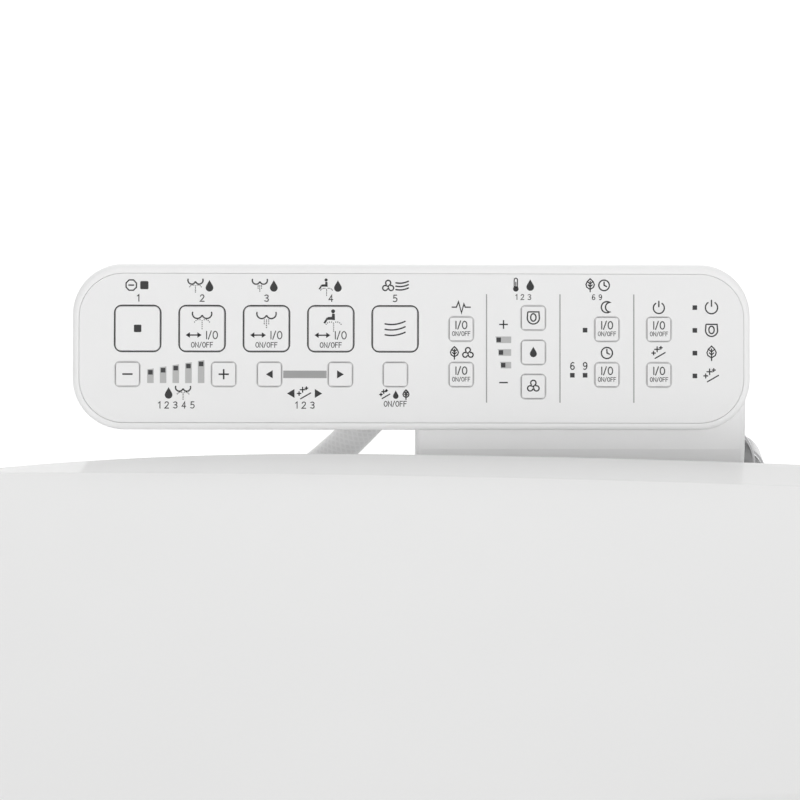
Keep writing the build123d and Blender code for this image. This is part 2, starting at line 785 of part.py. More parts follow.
pipes = [box(s - half, s + half, v - half, v + half, -bezel_depth + 1, 0) for s, v in lamps]
for pipe in pipes:
    sheet -= pipe
save("panel_face", panel * sheet)
save("panel_switches", panel * Compound(children=switches))
save("indicator_lights", panel * Compound(children=pipes))
circuit = slab(panel_width - 16, panel_height - 16, panel_corner - 8, -bezel_depth - 0.6, -bezel_depth + 1)
save("panel_board", panel * circuit)

back_z = -bezel_depth - back_depth
back_outer = slab(panel_width - 4, panel_height - 4, panel_corner - 2, back_z, -bezel_depth)
back_outer = fillet(back_outer.edges().group_by(Axis.Z)[0], 4)
back = back_outer - slab(panel_width - 10, panel_height - 10, panel_corner - 5, back_z + 2.5, 0)
screw_v = 28.0 * row
panel_screws = [(s * col, v) for s in (-41.4, -20.7) for v in (-screw_v, screw_v)]
panel_screws += [(s * col, screw_v) for s in (41.4, 20.7)]
for s, v in panel_screws:
    back += rod_z(4, back_z + 1, -bezel_depth - 0.6, s, v)
    back -= rod_z(2.8, back_z - 1, back_z + 1.5, s, v)
    back -= rod_z(1.2, back_z, back_z + 6.5, s, v)
save("panel_back", panel * back)
screws = []
for s, v in panel_screws:
    screw = rod_z(2.8, back_z, back_z + 1.5, s, v) + rod_z(1.2, back_z + 1.5, back_z + 6.5, s, v)
    screws.append(panel * screw)
for x, y in body_screws:
    for side in (-1, 1):
        screw = rod_z(3.5, body_floor + 0.6, body_floor + wall, side * x, y)
        screws.append(screw + rod_z(1.5, body_floor + wall, split_z - 6, side * x, y))
save("screws", Compound(children=screws))

# Side arm
rail = end_prism(
    [
        (-rail_in, rail_bottom),
        (-rail_in, rail_top - 6),
        (-rail_in - 6, rail_top),
        (-rail_out, rail_top),
        (-rail_out, rail_bottom),
    ],
    rail_front,
    rail_rear,
)
rail = fillet(rail.edges().filter_by(Axis.Z), min(8, (rail_out - rail_in) / 4))
neck = end_prism(
    [
        (-neck_face, rail_top - 30),
        (-neck_face, rail_top + 8),
        (-neck_face - neck_lean, rail_top + 36),
        (-rail_out - neck_back - 10, rail_top + 52),
        (-rail_out - neck_back - 10, rail_top + 44),
        (-rail_out - neck_back, rail_top + 16),
        (-rail_out - neck_back, rail_top - 18),
        (-rail_out, rail_top - 30),
    ],
    rail_front,
    neck_rear,
)
neck_ends = neck.edges().filter_by(lambda e: e.length < 60 and e.center().X > -neck_face - neck_lean)
neck = fillet(neck_ends.filter_by(GeomType.LINE).filter_by(Axis.Y, reverse=True), neck_round)
neck = Pos(0, panel_y, rail_top) * Rot(panel_run, 0, 0) * Pos(0, -panel_y, -rail_top) * neck
arm = rail + neck + rod_x(9, -rail_out - neck_back, -neck_face - 2, elbow_y, elbow_z)
arm += box(-rail_in - rail_wall, -rear_half_width, 8, 42, rail_bottom, rail_top)
arm -= end_prism(
    [
        (-rail_in - rail_wall, rail_bottom - 1),
        (-rail_in - rail_wall, rail_top - rail_wall - 5),
        (-rail_in - rail_wall - 5, rail_top - rail_wall),
        (-rail_out + rail_wall, rail_top - rail_wall),
        (-rail_out + rail_wall, rail_bottom - 1),
    ],
    rail_front + rail_wall,
    rail_rear - rail_wall,
)
clear_front = slab(panel_width, panel_height, panel_corner, -bezel_depth, 60)
arm -= panel * (clear_front + back_outer)
save("panel_arm", arm)

# Inlet elbow, supply hose and its fittings
lead = (0, -cos(radians(hose_rise)), sin(radians(hose_rise)))
hose_y = elbow_y + hose_lead * lead[1]
hose_z = elbow_z + hose_lead * lead[2]
peak_z = hose_z + tan(radians(hose_rise)) * (hose_y - hose_peak_y)
elbow_line = Plane(origin=(hose_x, elbow_y, elbow_z), z_dir=lead).location
elbow_root = -rail_out - neck_back
elbow = rod_x(elbow_r, hose_x - elbow_half, hose_x + elbow_half, elbow_y, elbow_z)
elbow = fillet(elbow.edges(), 2)
slot = Pos(hose_x + elbow_half, elbow_y + 4.6, elbow_z + 10.4) * Rot(-40, 0, 0)
elbow -= slot * Box(2.4, 2.6, 3.4)
elbow += rod_x(7, hose_x, elbow_root, elbow_y, elbow_z)
flange = rod_x(flange_r, elbow_root - flange_thick, elbow_root, elbow_y - 15.4, elbow_z + 6.5)
elbow += fillet(flange.edges(), 1.5)
elbow += elbow_line * Pos(0, 0, elbow_stub / 2) * Cylinder(8, elbow_stub)
save("inlet_elbow", elbow)
path = FilletPolyline(
    (hose_x, hose_y, hose_z),
    (hose_x, hose_peak_y, peak_z),
    (hose_x, hose_foot_y, hose_foot_z),
    (hose_x, hose_tail_y, nut_r),
    (hose_x, hose_end_y, nut_r),
    radius=hose_bend,
)
hose = sweep(Plane(origin=(hose_x, hose_y, hose_z), z_dir=lead) * Circle(hose_r), path=path)
save("supply_hose", hose)
nut_length = hose_lead - elbow_stub
inlet_nut = elbow_line * Pos(0, 0, elbow_stub + nut_length / 2) * Cylinder(nut_r - 0.5, nut_length)
tail_nut = rod_y(nut_r, hose_end_y - 22, hose_end_y, hose_x, nut_r)
tail_nut -= rod_y(nut_r - 3, hose_end_y - 23, hose_end_y - 10, hose_x, nut_r)
save("hose_fittings", Compound(children=[inlet_nut, tail_nut]))
print("hose length", round(path.length, 1), "mm, volume", round(hose.volume), "mm3")
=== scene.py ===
"""Looks of the electric bidet seat with a side control panel.

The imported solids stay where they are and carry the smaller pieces; the lid, the supply hose and the
print on the panel are made here around them.
"""

from __future__ import annotations

import json
import logging
import math
from collections.abc import Sequence
from dataclasses import dataclass, field
from enum import Enum

import bmesh
import bpy
from bpy.types import ID, Material, Node, NodeSocket, NodeTree, Object
from mathutils import Matrix, Quaternion, Vector

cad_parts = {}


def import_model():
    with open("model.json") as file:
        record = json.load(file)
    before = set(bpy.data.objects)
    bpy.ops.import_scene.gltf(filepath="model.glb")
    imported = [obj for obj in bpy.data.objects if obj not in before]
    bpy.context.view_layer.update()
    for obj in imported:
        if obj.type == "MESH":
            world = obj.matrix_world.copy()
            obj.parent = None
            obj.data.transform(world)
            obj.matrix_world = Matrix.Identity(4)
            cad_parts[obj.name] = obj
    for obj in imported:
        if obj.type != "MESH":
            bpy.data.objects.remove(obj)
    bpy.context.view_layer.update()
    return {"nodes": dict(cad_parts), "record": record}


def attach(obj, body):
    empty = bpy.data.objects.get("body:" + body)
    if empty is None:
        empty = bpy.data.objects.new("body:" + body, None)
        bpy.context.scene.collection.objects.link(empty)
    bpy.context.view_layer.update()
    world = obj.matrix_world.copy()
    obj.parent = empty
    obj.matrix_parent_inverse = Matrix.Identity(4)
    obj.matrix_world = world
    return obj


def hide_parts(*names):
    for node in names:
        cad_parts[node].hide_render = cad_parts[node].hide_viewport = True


LOG = logging.getLogger("bidet_seat")
MM = 0.001
WHITE = (1.0, 1.0, 1.0, 1.0)
Point = tuple[float, float]
Place = tuple[float, float, float]
Feed = float | Sequence[float] | NodeSocket


def feed(tree: NodeTree, node: Node, inputs: dict[str | int, Feed]) -> None:
    """Sets or links the inputs of a node.

    Args:
        tree: Node tree it is in.
        node: The node.
        inputs: Values, or sockets to link from, by input.
    """
    for key, value in inputs.items():
        if isinstance(value, NodeSocket):
            tree.links.new(value, node.inputs[key])
        else:
            node.inputs[key].default_value = value


def add(tree: NodeTree, kind: str, inputs: dict[str | int, Feed], **settings: str) -> Node:
    """Adds a node.

    Args:
        tree: Node tree to add to.
        kind: Node type.
        inputs: Values, or sockets to link from, by input.
        settings: Choices of the node itself.

    Returns:
        The node.
    """
    node = tree.nodes.new(kind)
    for key, value in settings.items():
        setattr(node, key, value)
    feed(tree, node, inputs)
    return node


def calc(tree: NodeTree, operation: str, *values: Feed) -> NodeSocket:
    """Adds a math node and gives its result."""
    return add(tree, "ShaderNodeMath", dict(enumerate(values)), operation=operation).outputs[0]


class Pattern(Enum):
    """Surface detail that a finish carries."""

    FINE = "fine moulded grain"
    SPARK = "satin spark texture"
    WOVEN = "woven braid"
    BRUSHED = "turned metal"
    CIRCUIT = "circuit board"
    FOIL = "printed foil"


@dataclass(frozen=True)
class Finish:
    """One surface finish, built as a procedural material.

    Attributes:
        name: Material name.
        colour: Base colour, linear.
        roughness: Mean roughness.
        pattern: Surface detail.
        metallic: Metalness.
        spread: Roughness variation either way.
        bump: Height of the surface detail, in metres.
        scale: Grain scale per metre.
        ior: Index of refraction.
        strands: Braid strands each way round a cord.
    """

    name: str
    colour: Place
    roughness: float
    pattern: Pattern = Pattern.FINE
    metallic: float = 0.0
    spread: float = 0.03
    bump: float = 0.00002
    scale: float = 900.0
    ior: float = 1.45
    strands: float = 12.0

    def build(self) -> Material:
        """Makes the material.

        Returns:
            The new material with its node tree filled in.
        """
        mat = bpy.data.materials.new(self.name)
        mat.use_nodes = True
        tree = mat.node_tree
        coords = tree.nodes.new("ShaderNodeTexCoord")
        height = self._height(tree, coords)
        spots = {"Vector": coords.outputs["Object"], "Scale": 14.0, "Detail": 4.0}
        rough = add(tree, "ShaderNodeTexNoise", spots)
        span = add(tree, "ShaderNodeMapRange", {
            "Value": rough.outputs["Fac"],
            "To Min": max(0.02, self.roughness - self.spread),
            "To Max": min(1.0, self.roughness + self.spread),
        })
        bump = add(tree, "ShaderNodeBump", {"Height": height, "Distance": self.bump, "Strength": 0.6})
        shader = tree.nodes["Principled BSDF"]
        feed(tree, shader, {
            "Base Color": (*self.colour, 1.0),
            "Metallic": self.metallic,
            "IOR": self.ior,
            "Roughness": span.outputs["Result"],
            "Normal": bump.outputs["Normal"],
        })
        tree.links.new(self._tint(tree, height), shader.inputs["Base Color"])
        return mat

    def _height(self, tree: NodeTree, coords: Node) -> NodeSocket:
        """Makes the height field of the finish.

        Args:
            tree: Node tree to add to.
            coords: Texture coordinate node.

        Returns:
            Socket with the height, from 0 to 1.
        """
        if self.pattern is Pattern.WOVEN:
            return self._braid(tree, coords)
        place = coords.outputs["Object"]
        if self.pattern is Pattern.BRUSHED:
            stretch = add(tree, "ShaderNodeMapping", {"Vector": place, "Scale": (6.0, 0.15, 0.15)})
            place = stretch.outputs["Vector"]
        grain = {"Vector": place, "Scale": self.scale}
        if self.pattern is Pattern.CIRCUIT:
            return add(tree, "ShaderNodeTexVoronoi", grain, distance="MANHATTAN").outputs["Distance"]
        if self.pattern is Pattern.FOIL:
            return add(tree, "ShaderNodeTexWave", {**grain, "Distortion": 1.5}).outputs["Fac"]
        return add(tree, "ShaderNodeTexNoise", {**grain, "Detail": 3.0}).outputs["Fac"]

    def _braid(self, tree: NodeTree, coords: Node) -> NodeSocket:
        """Makes two crossing sets of strands along a cord's own length.

        Args:
            tree: Node tree to add to.
            coords: Texture coordinate node.

        Returns:
            Socket with the strand height.
        """
        split = add(tree, "ShaderNodeSeparateXYZ", {"Vector": coords.outputs["UV"]})
        sets = []
        for sign in (1.0, -1.0):
            along = calc(tree, "MULTIPLY", split.outputs["X"], self.scale)
            turns = sign * 2.0 * math.pi * self.strands
            around = calc(tree, "MULTIPLY_ADD", split.outputs["Y"], turns, along)
            sets.append(calc(tree, "SINE", around))
        return calc(tree, "MAXIMUM", *sets)

    def _tint(self, tree: NodeTree, height: NodeSocket) -> NodeSocket:
        """Darkens the base colour where the height is low: painted shade in the hollows of the braid and the
        grain, and the own two-tone pattern of the circuit board and the foil.

        Args:
            tree: Node tree to add to.
            height: Height socket.

        Returns:
            Socket with the colour.
        """
        # Painted shade: the low parts of the braid and grain come out darker; on the circuit board and foil
        # the darker tone is their own pattern.
        low = {Pattern.WOVEN: 0.93, Pattern.CIRCUIT: 0.62, Pattern.FOIL: 0.62}.get(self.pattern, 0.985)
        shades = {"A": (*(c * low for c in self.colour), 1.0), "B": (*self.colour, 1.0)}
        return add(tree, "ShaderNodeMix", {"Factor": height, **shades}, data_type="RGBA").outputs["Result"]


FINISHES: dict[str, Finish] = {
    finish.name: finish
    for finish in (
        Finish("white_gloss", (0.80, 0.80, 0.795), 0.07, spread=0.02, bump=0.000001, scale=240.0),
        Finish("white_satin", (0.80, 0.80, 0.797), 0.55, bump=0.000003, scale=600.0, ior=1.4),
        # Painted light: the band's white is a touch lighter than the lid's own white, lifting the band where
        # it lies in the panel's shade.
        Finish("white_band_painted_light", (0.82, 0.82, 0.817), 0.07, spread=0.01, bump=0.000001, scale=240.0, ior=1.08),
        Finish("white_matte", (0.76, 0.76, 0.755), 0.42, Pattern.SPARK),
        Finish("panel_white", (0.88, 0.88, 0.88), 0.5, Pattern.SPARK, bump=0.000012, scale=1500.0),
        Finish("key_white", (0.87, 0.87, 0.87), 0.45, Pattern.SPARK, bump=0.000012, scale=1500.0),
        Finish("rubber_grey", (0.10, 0.10, 0.105), 0.75, Pattern.SPARK, bump=0.00006, scale=700.0),
        Finish("steel", (0.60, 0.60, 0.61), 0.28, Pattern.BRUSHED, metallic=1.0, bump=0.00001, scale=400.0),
        Finish("chrome", (0.40, 0.40, 0.405), 0.2, Pattern.BRUSHED, metallic=1.0, bump=0.000004, scale=60.0),
        Finish("hose_grey", (0.72, 0.72, 0.722), 0.45, Pattern.WOVEN, bump=0.00005),
        Finish("board_green", (0.03, 0.16, 0.07), 0.35, Pattern.CIRCUIT, bump=0.0001, scale=220.0),
        Finish("dark_plastic", (0.025, 0.025, 0.028), 0.45, Pattern.SPARK),
        Finish("copper_foil", (0.66, 0.36, 0.20), 0.35, Pattern.FOIL, metallic=0.8, scale=60.0),
        Finish("lens_dark", (0.018, 0.018, 0.02), 0.5, bump=0.000004),
        Finish("blue_filter", (0.10, 0.15, 0.20), 0.7, Pattern.SPARK, bump=0.00008),
        Finish("ink_dark", (0.014, 0.014, 0.015), 0.55, Pattern.SPARK, bump=0.000004),
        *(
            Finish(f"ink_{tone}", (v, v, v), 0.45, Pattern.SPARK, bump=0.000004)
            for tone, v in (("grey", 0.33), ("pale", 0.47), ("faint", 0.58))
        ),
        # Painted light: the bezel's white is lighter than the panel's, lifting its rounded rim where it lies
        # in shade.
        Finish("border_white_painted_light", (0.92, 0.92, 0.92), 0.6, Pattern.SPARK, bump=0.000008, scale=1500.0),
    )
}


class Palette:
    """Builds each finish once and hands it out."""

    def __init__(self) -> None:
        """Starts with nothing built."""
        self._made: dict[str, Material] = {}

    def get(self, name: str) -> Material:
        """Gives the material of a finish.

        Args:
            name: Key in FINISHES.

        Returns:
            The material, built on first use.
        """
        if name not in self._made:
            self._made[name] = FINISHES[name].build()
        return self._made[name]

    def put(self, obj: Object, name: str) -> None:
        """Gives a piece one finish.

        Args:
            obj: The piece.
            name: Key in FINISHES.
        """
        obj.data.materials.clear()
        obj.data.materials.append(self.get(name))
        LOG.info("%s: %s", obj.name, name)


def link(name: str, data: ID) -> Object:
    """Puts a new object in the scene.

    Args:
        name: Object name.
        data: Its mesh, curve, camera or light.

    Returns:
        The object.
    """
    obj = bpy.data.objects.new(name, data)
    bpy.context.scene.collection.objects.link(obj)
    return obj


def new_mesh(name: str, verts: Sequence[Sequence[float]], faces: Sequence[Sequence[int]]) -> Object:
    """Makes a mesh object from millimetre points.

    Args:
        name: Object name.
        verts: Points in millimetres.
        faces: Vertex indices of each face.

    Returns:
        The linked object.
    """
    mesh = bpy.data.meshes.new(name)
    mesh.from_pydata([[c * MM for c in v] for v in verts], [], faces)
    mesh.update()
    return link(name, mesh)


def between(a: Point, b: Point, t: float) -> Point:
    """Gives the point a share of the way from one point to another."""
    return a[0] + (b[0] - a[0]) * t, a[1] + (b[1] - a[1]) * t


def step(p: Sequence[float], n: Point, d: float) -> Point:
    """Gives the point some distance from another in a direction."""
    return p[0] + n[0] * d, p[1] + n[1] * d


def clean(obj: Object, angle: float) -> None:
    """Welds a mesh, turns its faces outwards and shades it smooth up to an angle.

    Args:
        obj: The mesh object.
        angle: Edges sharper than this many degrees stay sharp.
    """
    bm = bmesh.new()
    bm.from_mesh(obj.data)
    bmesh.ops.remove_doubles(bm, verts=bm.verts, dist=1e-6)
    bmesh.ops.recalc_face_normals(bm, faces=bm.faces)
    bm.to_mesh(obj.data)
    bm.free()
    obj.data.shade_smooth()
    obj.data.set_sharp_from_angle(angle=math.radians(angle))


@dataclass
class Lid:
    """The lid: crowned top, soft crease, border band, skirt and the round behind its hinge.

    All lengths in millimetres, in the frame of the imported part.
    """

    half_width: float = 195.0
    rear_half_width: float = 178.0
    widest_y: float = -223.0
    front: float = 470.0
    hinge_y: float = -30.0
    hinge_z: float = 88.0
    round_r: float = 26.0
    rise: float = 20.0
    crown: float = 6.0
    slope: float = 5.2
    band: float = 12.2
    creases: Place = (125.5, 140.5, 140.0)
    skirt: float = 30.0
    wall: float = 3.5
    edge_r: float = 6.0
    soft: float = 0.12
    clear_x: float = 151.0
    rear_run: float = 40.0
    corner: float = 12.0
    middle: float = -200.0
    lip: float = 9.0
    lip_margin: float = 1.0
    cheek_run: float = 45.0
    cheek_gap: float = 2.0
    spine_ends: Point = (-300.0, -70.0)
    crease_step: float = 0.7
    crease_last: float = 0.985
    least_rise: float = 0.5
    skin: float = 0.5
    sharp: float = 40.0
    boss: Place = (161.0, 9.0, 18.0)
    posts: tuple[Point, ...] = ((145.0, -250.0), (75.0, -410.0))
    post_r: float = 7.0
    pad_top: float = 42.0
    crown_rings: int = 84
    band_rings: int = 30
    edge_steps: int = 10
    wall_steps: int = 8
    fillet_steps: int = 4
    under_rings: int = 14
    side_steps: int = 46
    front_steps: int = 150
    corner_steps: int = 8
    rear_steps: int = 90
    cheek_steps: int = 12
    boss_sides: int = 40
    post_sides: int = 32
    verts: list[list[float]] = field(default_factory=list)
    faces: list[list[int]] = field(default_factory=list)

    def side(self, y: float) -> float:
        """Gives the half width of the outline at a station.

        Args:
            y: Station.

        Returns:
            Half width.
        """
        if y <= self.widest_y:
            t = (y - self.widest_y) / (self.front + self.widest_y)
            return self.half_width * math.sqrt(max(0.0, 1.0 - t * t))
        drop = self.half_width - self.rear_half_width
        run = self.hinge_y + self.rear_run - self.widest_y
        r = (drop * drop + run * run) / (2.0 * drop)
        return self.half_width - (r - math.sqrt(r * r - (y - self.widest_y) ** 2))

    def crease(self, y: float) -> float:
        """Gives the half width of the crease at a station.

        Args:
            y: Station.

        Returns:
            Half width, on a smooth curve through three stations.
        """
        knots = (self.hinge_y, self.widest_y, -self.front)
        return sum(
            width * math.prod((y - other) / (knot - other) for other in knots if other != knot)
            for knot, width in zip(knots, self.creases)
        )

    def top(self, x: float, y: float) -> float:
        """Gives the height of the lid's top.

        Args:
            x: Place across.
            y: Place along.

        Returns:
            Height with the crease softened.
        """
        c = self.crease(y)
        base = self.hinge_z + self.rise + math.tan(math.radians(self.slope)) * (y - self.hinge_y)
        crowned = base + self.crown * (1.0 - (x / c) ** 2)
        banded = base - (abs(x) - c) * math.tan(math.radians(self.band))
        h = max(self.soft - abs(crowned - banded), 0.0) / self.soft
        return min(crowned, banded) - h * h * self.soft / 4.0

    def outline(self) -> list[tuple[Point, Point, bool]]:
        """Walks the closed plan outline.

        Returns:
            Points with their inward directions, and whether each lies on the rear edge.
        """
        rear = self.hinge_y + self.round_r
        start = rear - self.corner
        length = self.front + self.widest_y
        path: list[tuple[Point, bool]] = []
        for i in range(self.side_steps):
            y = start + (self.widest_y - start) * i / self.side_steps
            path.append(((self.side(y), y), False))
        for i in range(self.front_steps + 1):
            a = -math.pi * i / self.front_steps
            path.append(((self.half_width * math.cos(a), self.widest_y + length * math.sin(a)), False))
        path += [((-p[0], p[1]), r) for p, r in path[self.side_steps - 1 :: -1]]
        w = self.side(start)
        turns = [math.pi / 2 * i / self.corner_steps for i in range(1, self.corner_steps + 1)]
        bend = [(w - self.corner * (1 - math.cos(a)), start + self.corner * math.sin(a)) for a in turns]
        path += [((-x, y), False) for x, y in bend]
        span = w - self.corner
        path += [((-span + 2 * span * i / self.rear_steps, rear), True) for i in range(1, self.rear_steps)]
        path += [(p, False) for p in reversed(bend)]
        out = []
        for i, (p, is_rear) in enumerate(path):
            a, b = path[i - 1][0], path[(i + 1) % len(path)][0]
            dx, dy = b[0] - a[0], b[1] - a[1]
            size = math.hypot(dx, dy) * (1.0 if self._inward(p, dx, dy) else -1.0)
            out.append((p, (-dy / size, dx / size), is_rear))
        return out

    def _inward(self, p: Point, dx: float, dy: float) -> bool:
        """Tells whether the left normal of a step points into the outline."""
        to_middle = (-p[0], self.middle - p[1])
        return -dy * to_middle[0] + dx * to_middle[1] > 0

    def low(self, p: Point, is_rear: bool) -> float:
        """Gives the level where the wall ends below a point of the outline.

        Args:
            p: Point on the outline.
            is_rear: Whether it lies on the rear edge.

        Returns:
            Height.
        """
        x, y = p
        if is_rear and abs(x) < self.clear_x:
            return min(self.hinge_z + self.round_r - self.lip, self.top(x, y) - self.wall - self.lip_margin)
        if y > self.hinge_y:
            reach = min(y - self.hinge_y, self.round_r)
            return self.hinge_z - math.sqrt(self.round_r**2 - reach**2)
        if y > self.hinge_y - self.cheek_run:
            t = (y - self.hinge_y + self.cheek_run) / self.cheek_run
            return self.skirt + t * (self.hinge_z - self.round_r - self.skirt)
        return self.skirt

    def profile(self, p: Point, n: Point, is_rear: bool) -> list[list[float]]:
        """Runs from the spine over the outside, round the rim and back under the top.

        Args:
            p: Point on the outline.
            n: Inward direction there.
            is_rear: Whether it lies on the rear edge.

        Returns:
            Points of the run.
        """
        r = self.edge_r
        low = self.low(p, is_rear)
        front_end, rear_end = self.spine_ends
        spine = (0.0, min(rear_end, max(front_end, p[1])))
        q = step(p, n, r)
        plan = [between(spine, q, t) for t in self._stations(spine, q)]
        run = [[*at, self.top(*at)] for at in plan]
        wall_top = self.top(*p) - r
        first = math.asin(max(0.0, min(1.0, (low - wall_top) / r)))
        for j in range(1, self.edge_steps + 1):
            a = math.pi / 2 + (first - math.pi / 2) * j / self.edge_steps
            at = step(p, n, r * (1.0 - math.cos(a)))
            run.append([*at, self.top(*at) - r * (1.0 - math.sin(a))])
        end = run[-1]
        foot = min(low, end[2])
        for j in range(1, self.wall_steps + 1):
            run.append([end[0], end[1], end[2] + (foot - end[2]) * j / self.wall_steps])
        w = self.wall
        run.append([*step(end, n, w), foot])
        inner_r = r - w
        back = step(end, n, r)
        roof = self.top(*back) - w
        rise = max(foot + self.least_rise, roof - inner_r)
        for j in range(self.fillet_steps + 1):
            a = math.pi / 2 * j / self.fillet_steps
            at = step(end, n, w + inner_r * (1.0 - math.cos(a)))
            run.append([*at, max(rise, roof - inner_r * (1.0 - math.sin(a)))])
        for j in range(1, self.under_rings + 1):
            at = between(back, spine, j / self.under_rings)
            run.append([*at, self.top(*at) - w])
        return run

    def _stations(self, spine: Point, q: Point) -> list[float]:
        """Spaces the points of a run so that one of them lies on the crease.

        Args:
            spine: Start of the run.
            q: End of its straight part.

        Returns:
            Shares of the way from the start to the end.
        """
        low, high = 0.0, 1.0
        for _ in range(30):
            mid = (low + high) / 2
            x, y = between(spine, q, mid)
            if abs(x) > self.crease(y):
                high = mid
            else:
                low = mid
        at = min(low, self.crease_last)
        gap = self.crease_step / math.dist(q, spine)
        first = [(at - gap) * i / self.crown_rings for i in range(self.crown_rings + 1)]
        last = [at + gap + (1.0 - at - gap) * i / self.band_rings for i in range(self.band_rings + 1)]
        return first + [at] + last

    def _behind(self, v: list[float], inside: bool) -> list[float]:
        """Holds a point within the round behind the hinge.

        Args:
            v: Point.
            inside: Whether it lies on the inner face.

        Returns:
            The point, drawn in to the round where it lay outside.
        """
        if v[1] <= self.hinge_y:
            return v
        limit = self.round_r - (self.wall if inside else 0.0)
        dy, dz = v[1] - self.hinge_y, v[2] - self.hinge_z
        d = math.hypot(dy, dz)
        if d <= limit:
            return v
        return [v[0], self.hinge_y + dy * limit / d, self.hinge_z + dz * limit / d]

    def build(self, palette: Palette) -> Object:
        """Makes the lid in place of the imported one.

        Args:
            palette: Finishes.

        Returns:
            The lid object.
        """
        crease_points = 3
        outer = self.crown_rings + self.band_rings + crease_points + self.edge_steps + self.wall_steps
        runs = []
        for station in self.outline():
            run = self.profile(*station)
            runs.append([self._behind(v, i > outer) for i, v in enumerate(run)])
        size = len(runs[0])
        for run in runs:
            self.verts += run
        for i in range(len(runs)):
            a, b = i * size, ((i + 1) % len(runs)) * size
            for j in range(size - 1):
                self.faces.append([a + j, b + j, b + j + 1, a + j + 1])
        self._cheeks()
        obj = new_mesh("lid_shell", self.verts, self.faces)
        self._bosses(obj)
        clean(obj, self.sharp)
        palette.put(obj, "white_gloss")
        # The band finish is painted light: a lighter copy of the lid's white for the band beyond the crease.
        for name in ("white_satin", "white_band_painted_light"):
            obj.data.materials.append(palette.get(name))
        for face in obj.data.polygons:
            x, y, z = (c / MM for c in face.center)
            if z > self.top(x, y) - self.skin:
                face.material_index = 1 if abs(x) < self.crease(y) else 2
        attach(obj, "lid")
        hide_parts("lid")
        return obj

    def _cheeks(self) -> None:
        """Adds the closed ends of the round below the hinge line, outside the seat's arms."""
        for sign in (-1.0, 1.0):
            for r in (self.round_r, self.round_r - self.wall):
                start = len(self.verts)
                for i in range(self.cheek_steps + 1):
                    a = -math.pi / 2 * i / self.cheek_steps
                    y = self.hinge_y + r * math.cos(a)
                    z = self.hinge_z + r * math.sin(a)
                    for x in (self.clear_x, self.side(y) - self.cheek_gap):
                        self.verts.append([sign * x, y, z])
                for i in range(self.cheek_steps):
                    k = start + 2 * i
                    self.faces.append([k, k + 1, k + 3, k + 2])

    def _bosses(self, obj: Object) -> None:
        """Adds the hinge bosses and the posts that carry the rubber pads.

        Args:
            obj: The lid object.
        """
        bm = bmesh.new()
        bm.from_mesh(obj.data)
        boss_x, boss_r, width = self.boss
        lying = Matrix.Rotation(math.pi / 2, 4, "Y")
        rods = []
        for sign in (-1.0, 1.0):
            place = Vector((sign * boss_x, self.hinge_y, self.hinge_z))
            rods.append((place, lying, boss_r, width, self.boss_sides))
            for x, y in self.posts:
                tall = self.top(x, y) - self.wall - self.pad_top
                place = Vector((sign * x, y, self.pad_top + tall / 2))
                rods.append((place, Matrix(), self.post_r, tall, self.post_sides))
        for place, turn, r, depth, sides in rods:
            at = Matrix.Translation(place * MM) @ turn
            bmesh.ops.create_cone(
                bm, cap_ends=True, segments=sides, radius1=r * MM, radius2=r * MM, depth=depth * MM, matrix=at
            )
        bm.to_mesh(obj.data)
        bm.free()


@dataclass
class Hose:
    """The grey supply hose from the elbow to its free end.

    All lengths in millimetres.
    """

    points: tuple[Place, ...]
    diameter: float = 15.0

    def build(self, palette: Palette, nodes: dict[str, Object]) -> Object:
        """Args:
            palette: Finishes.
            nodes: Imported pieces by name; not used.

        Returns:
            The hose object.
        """
        curve = bpy.data.curves.new("hose_tube", "CURVE")
        curve.dimensions = "3D"
        curve.resolution_u = 24
        curve.bevel_depth = self.diameter / 2 * MM
        curve.bevel_resolution = 10
        curve.use_fill_caps = True
        spline = curve.splines.new("NURBS")
        spline.points.add(len(self.points) - 1)
        for knot, p in zip(spline.points, self.points):
            knot.co = (*(c * MM for c in p), 1.0)
        spline.order_u = 3
        spline.use_endpoint_u = True
        obj = link("hose_tube", curve)
        palette.put(obj, "hose_grey")
        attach(obj, "main")
        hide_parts("supply_hose")
        return obj


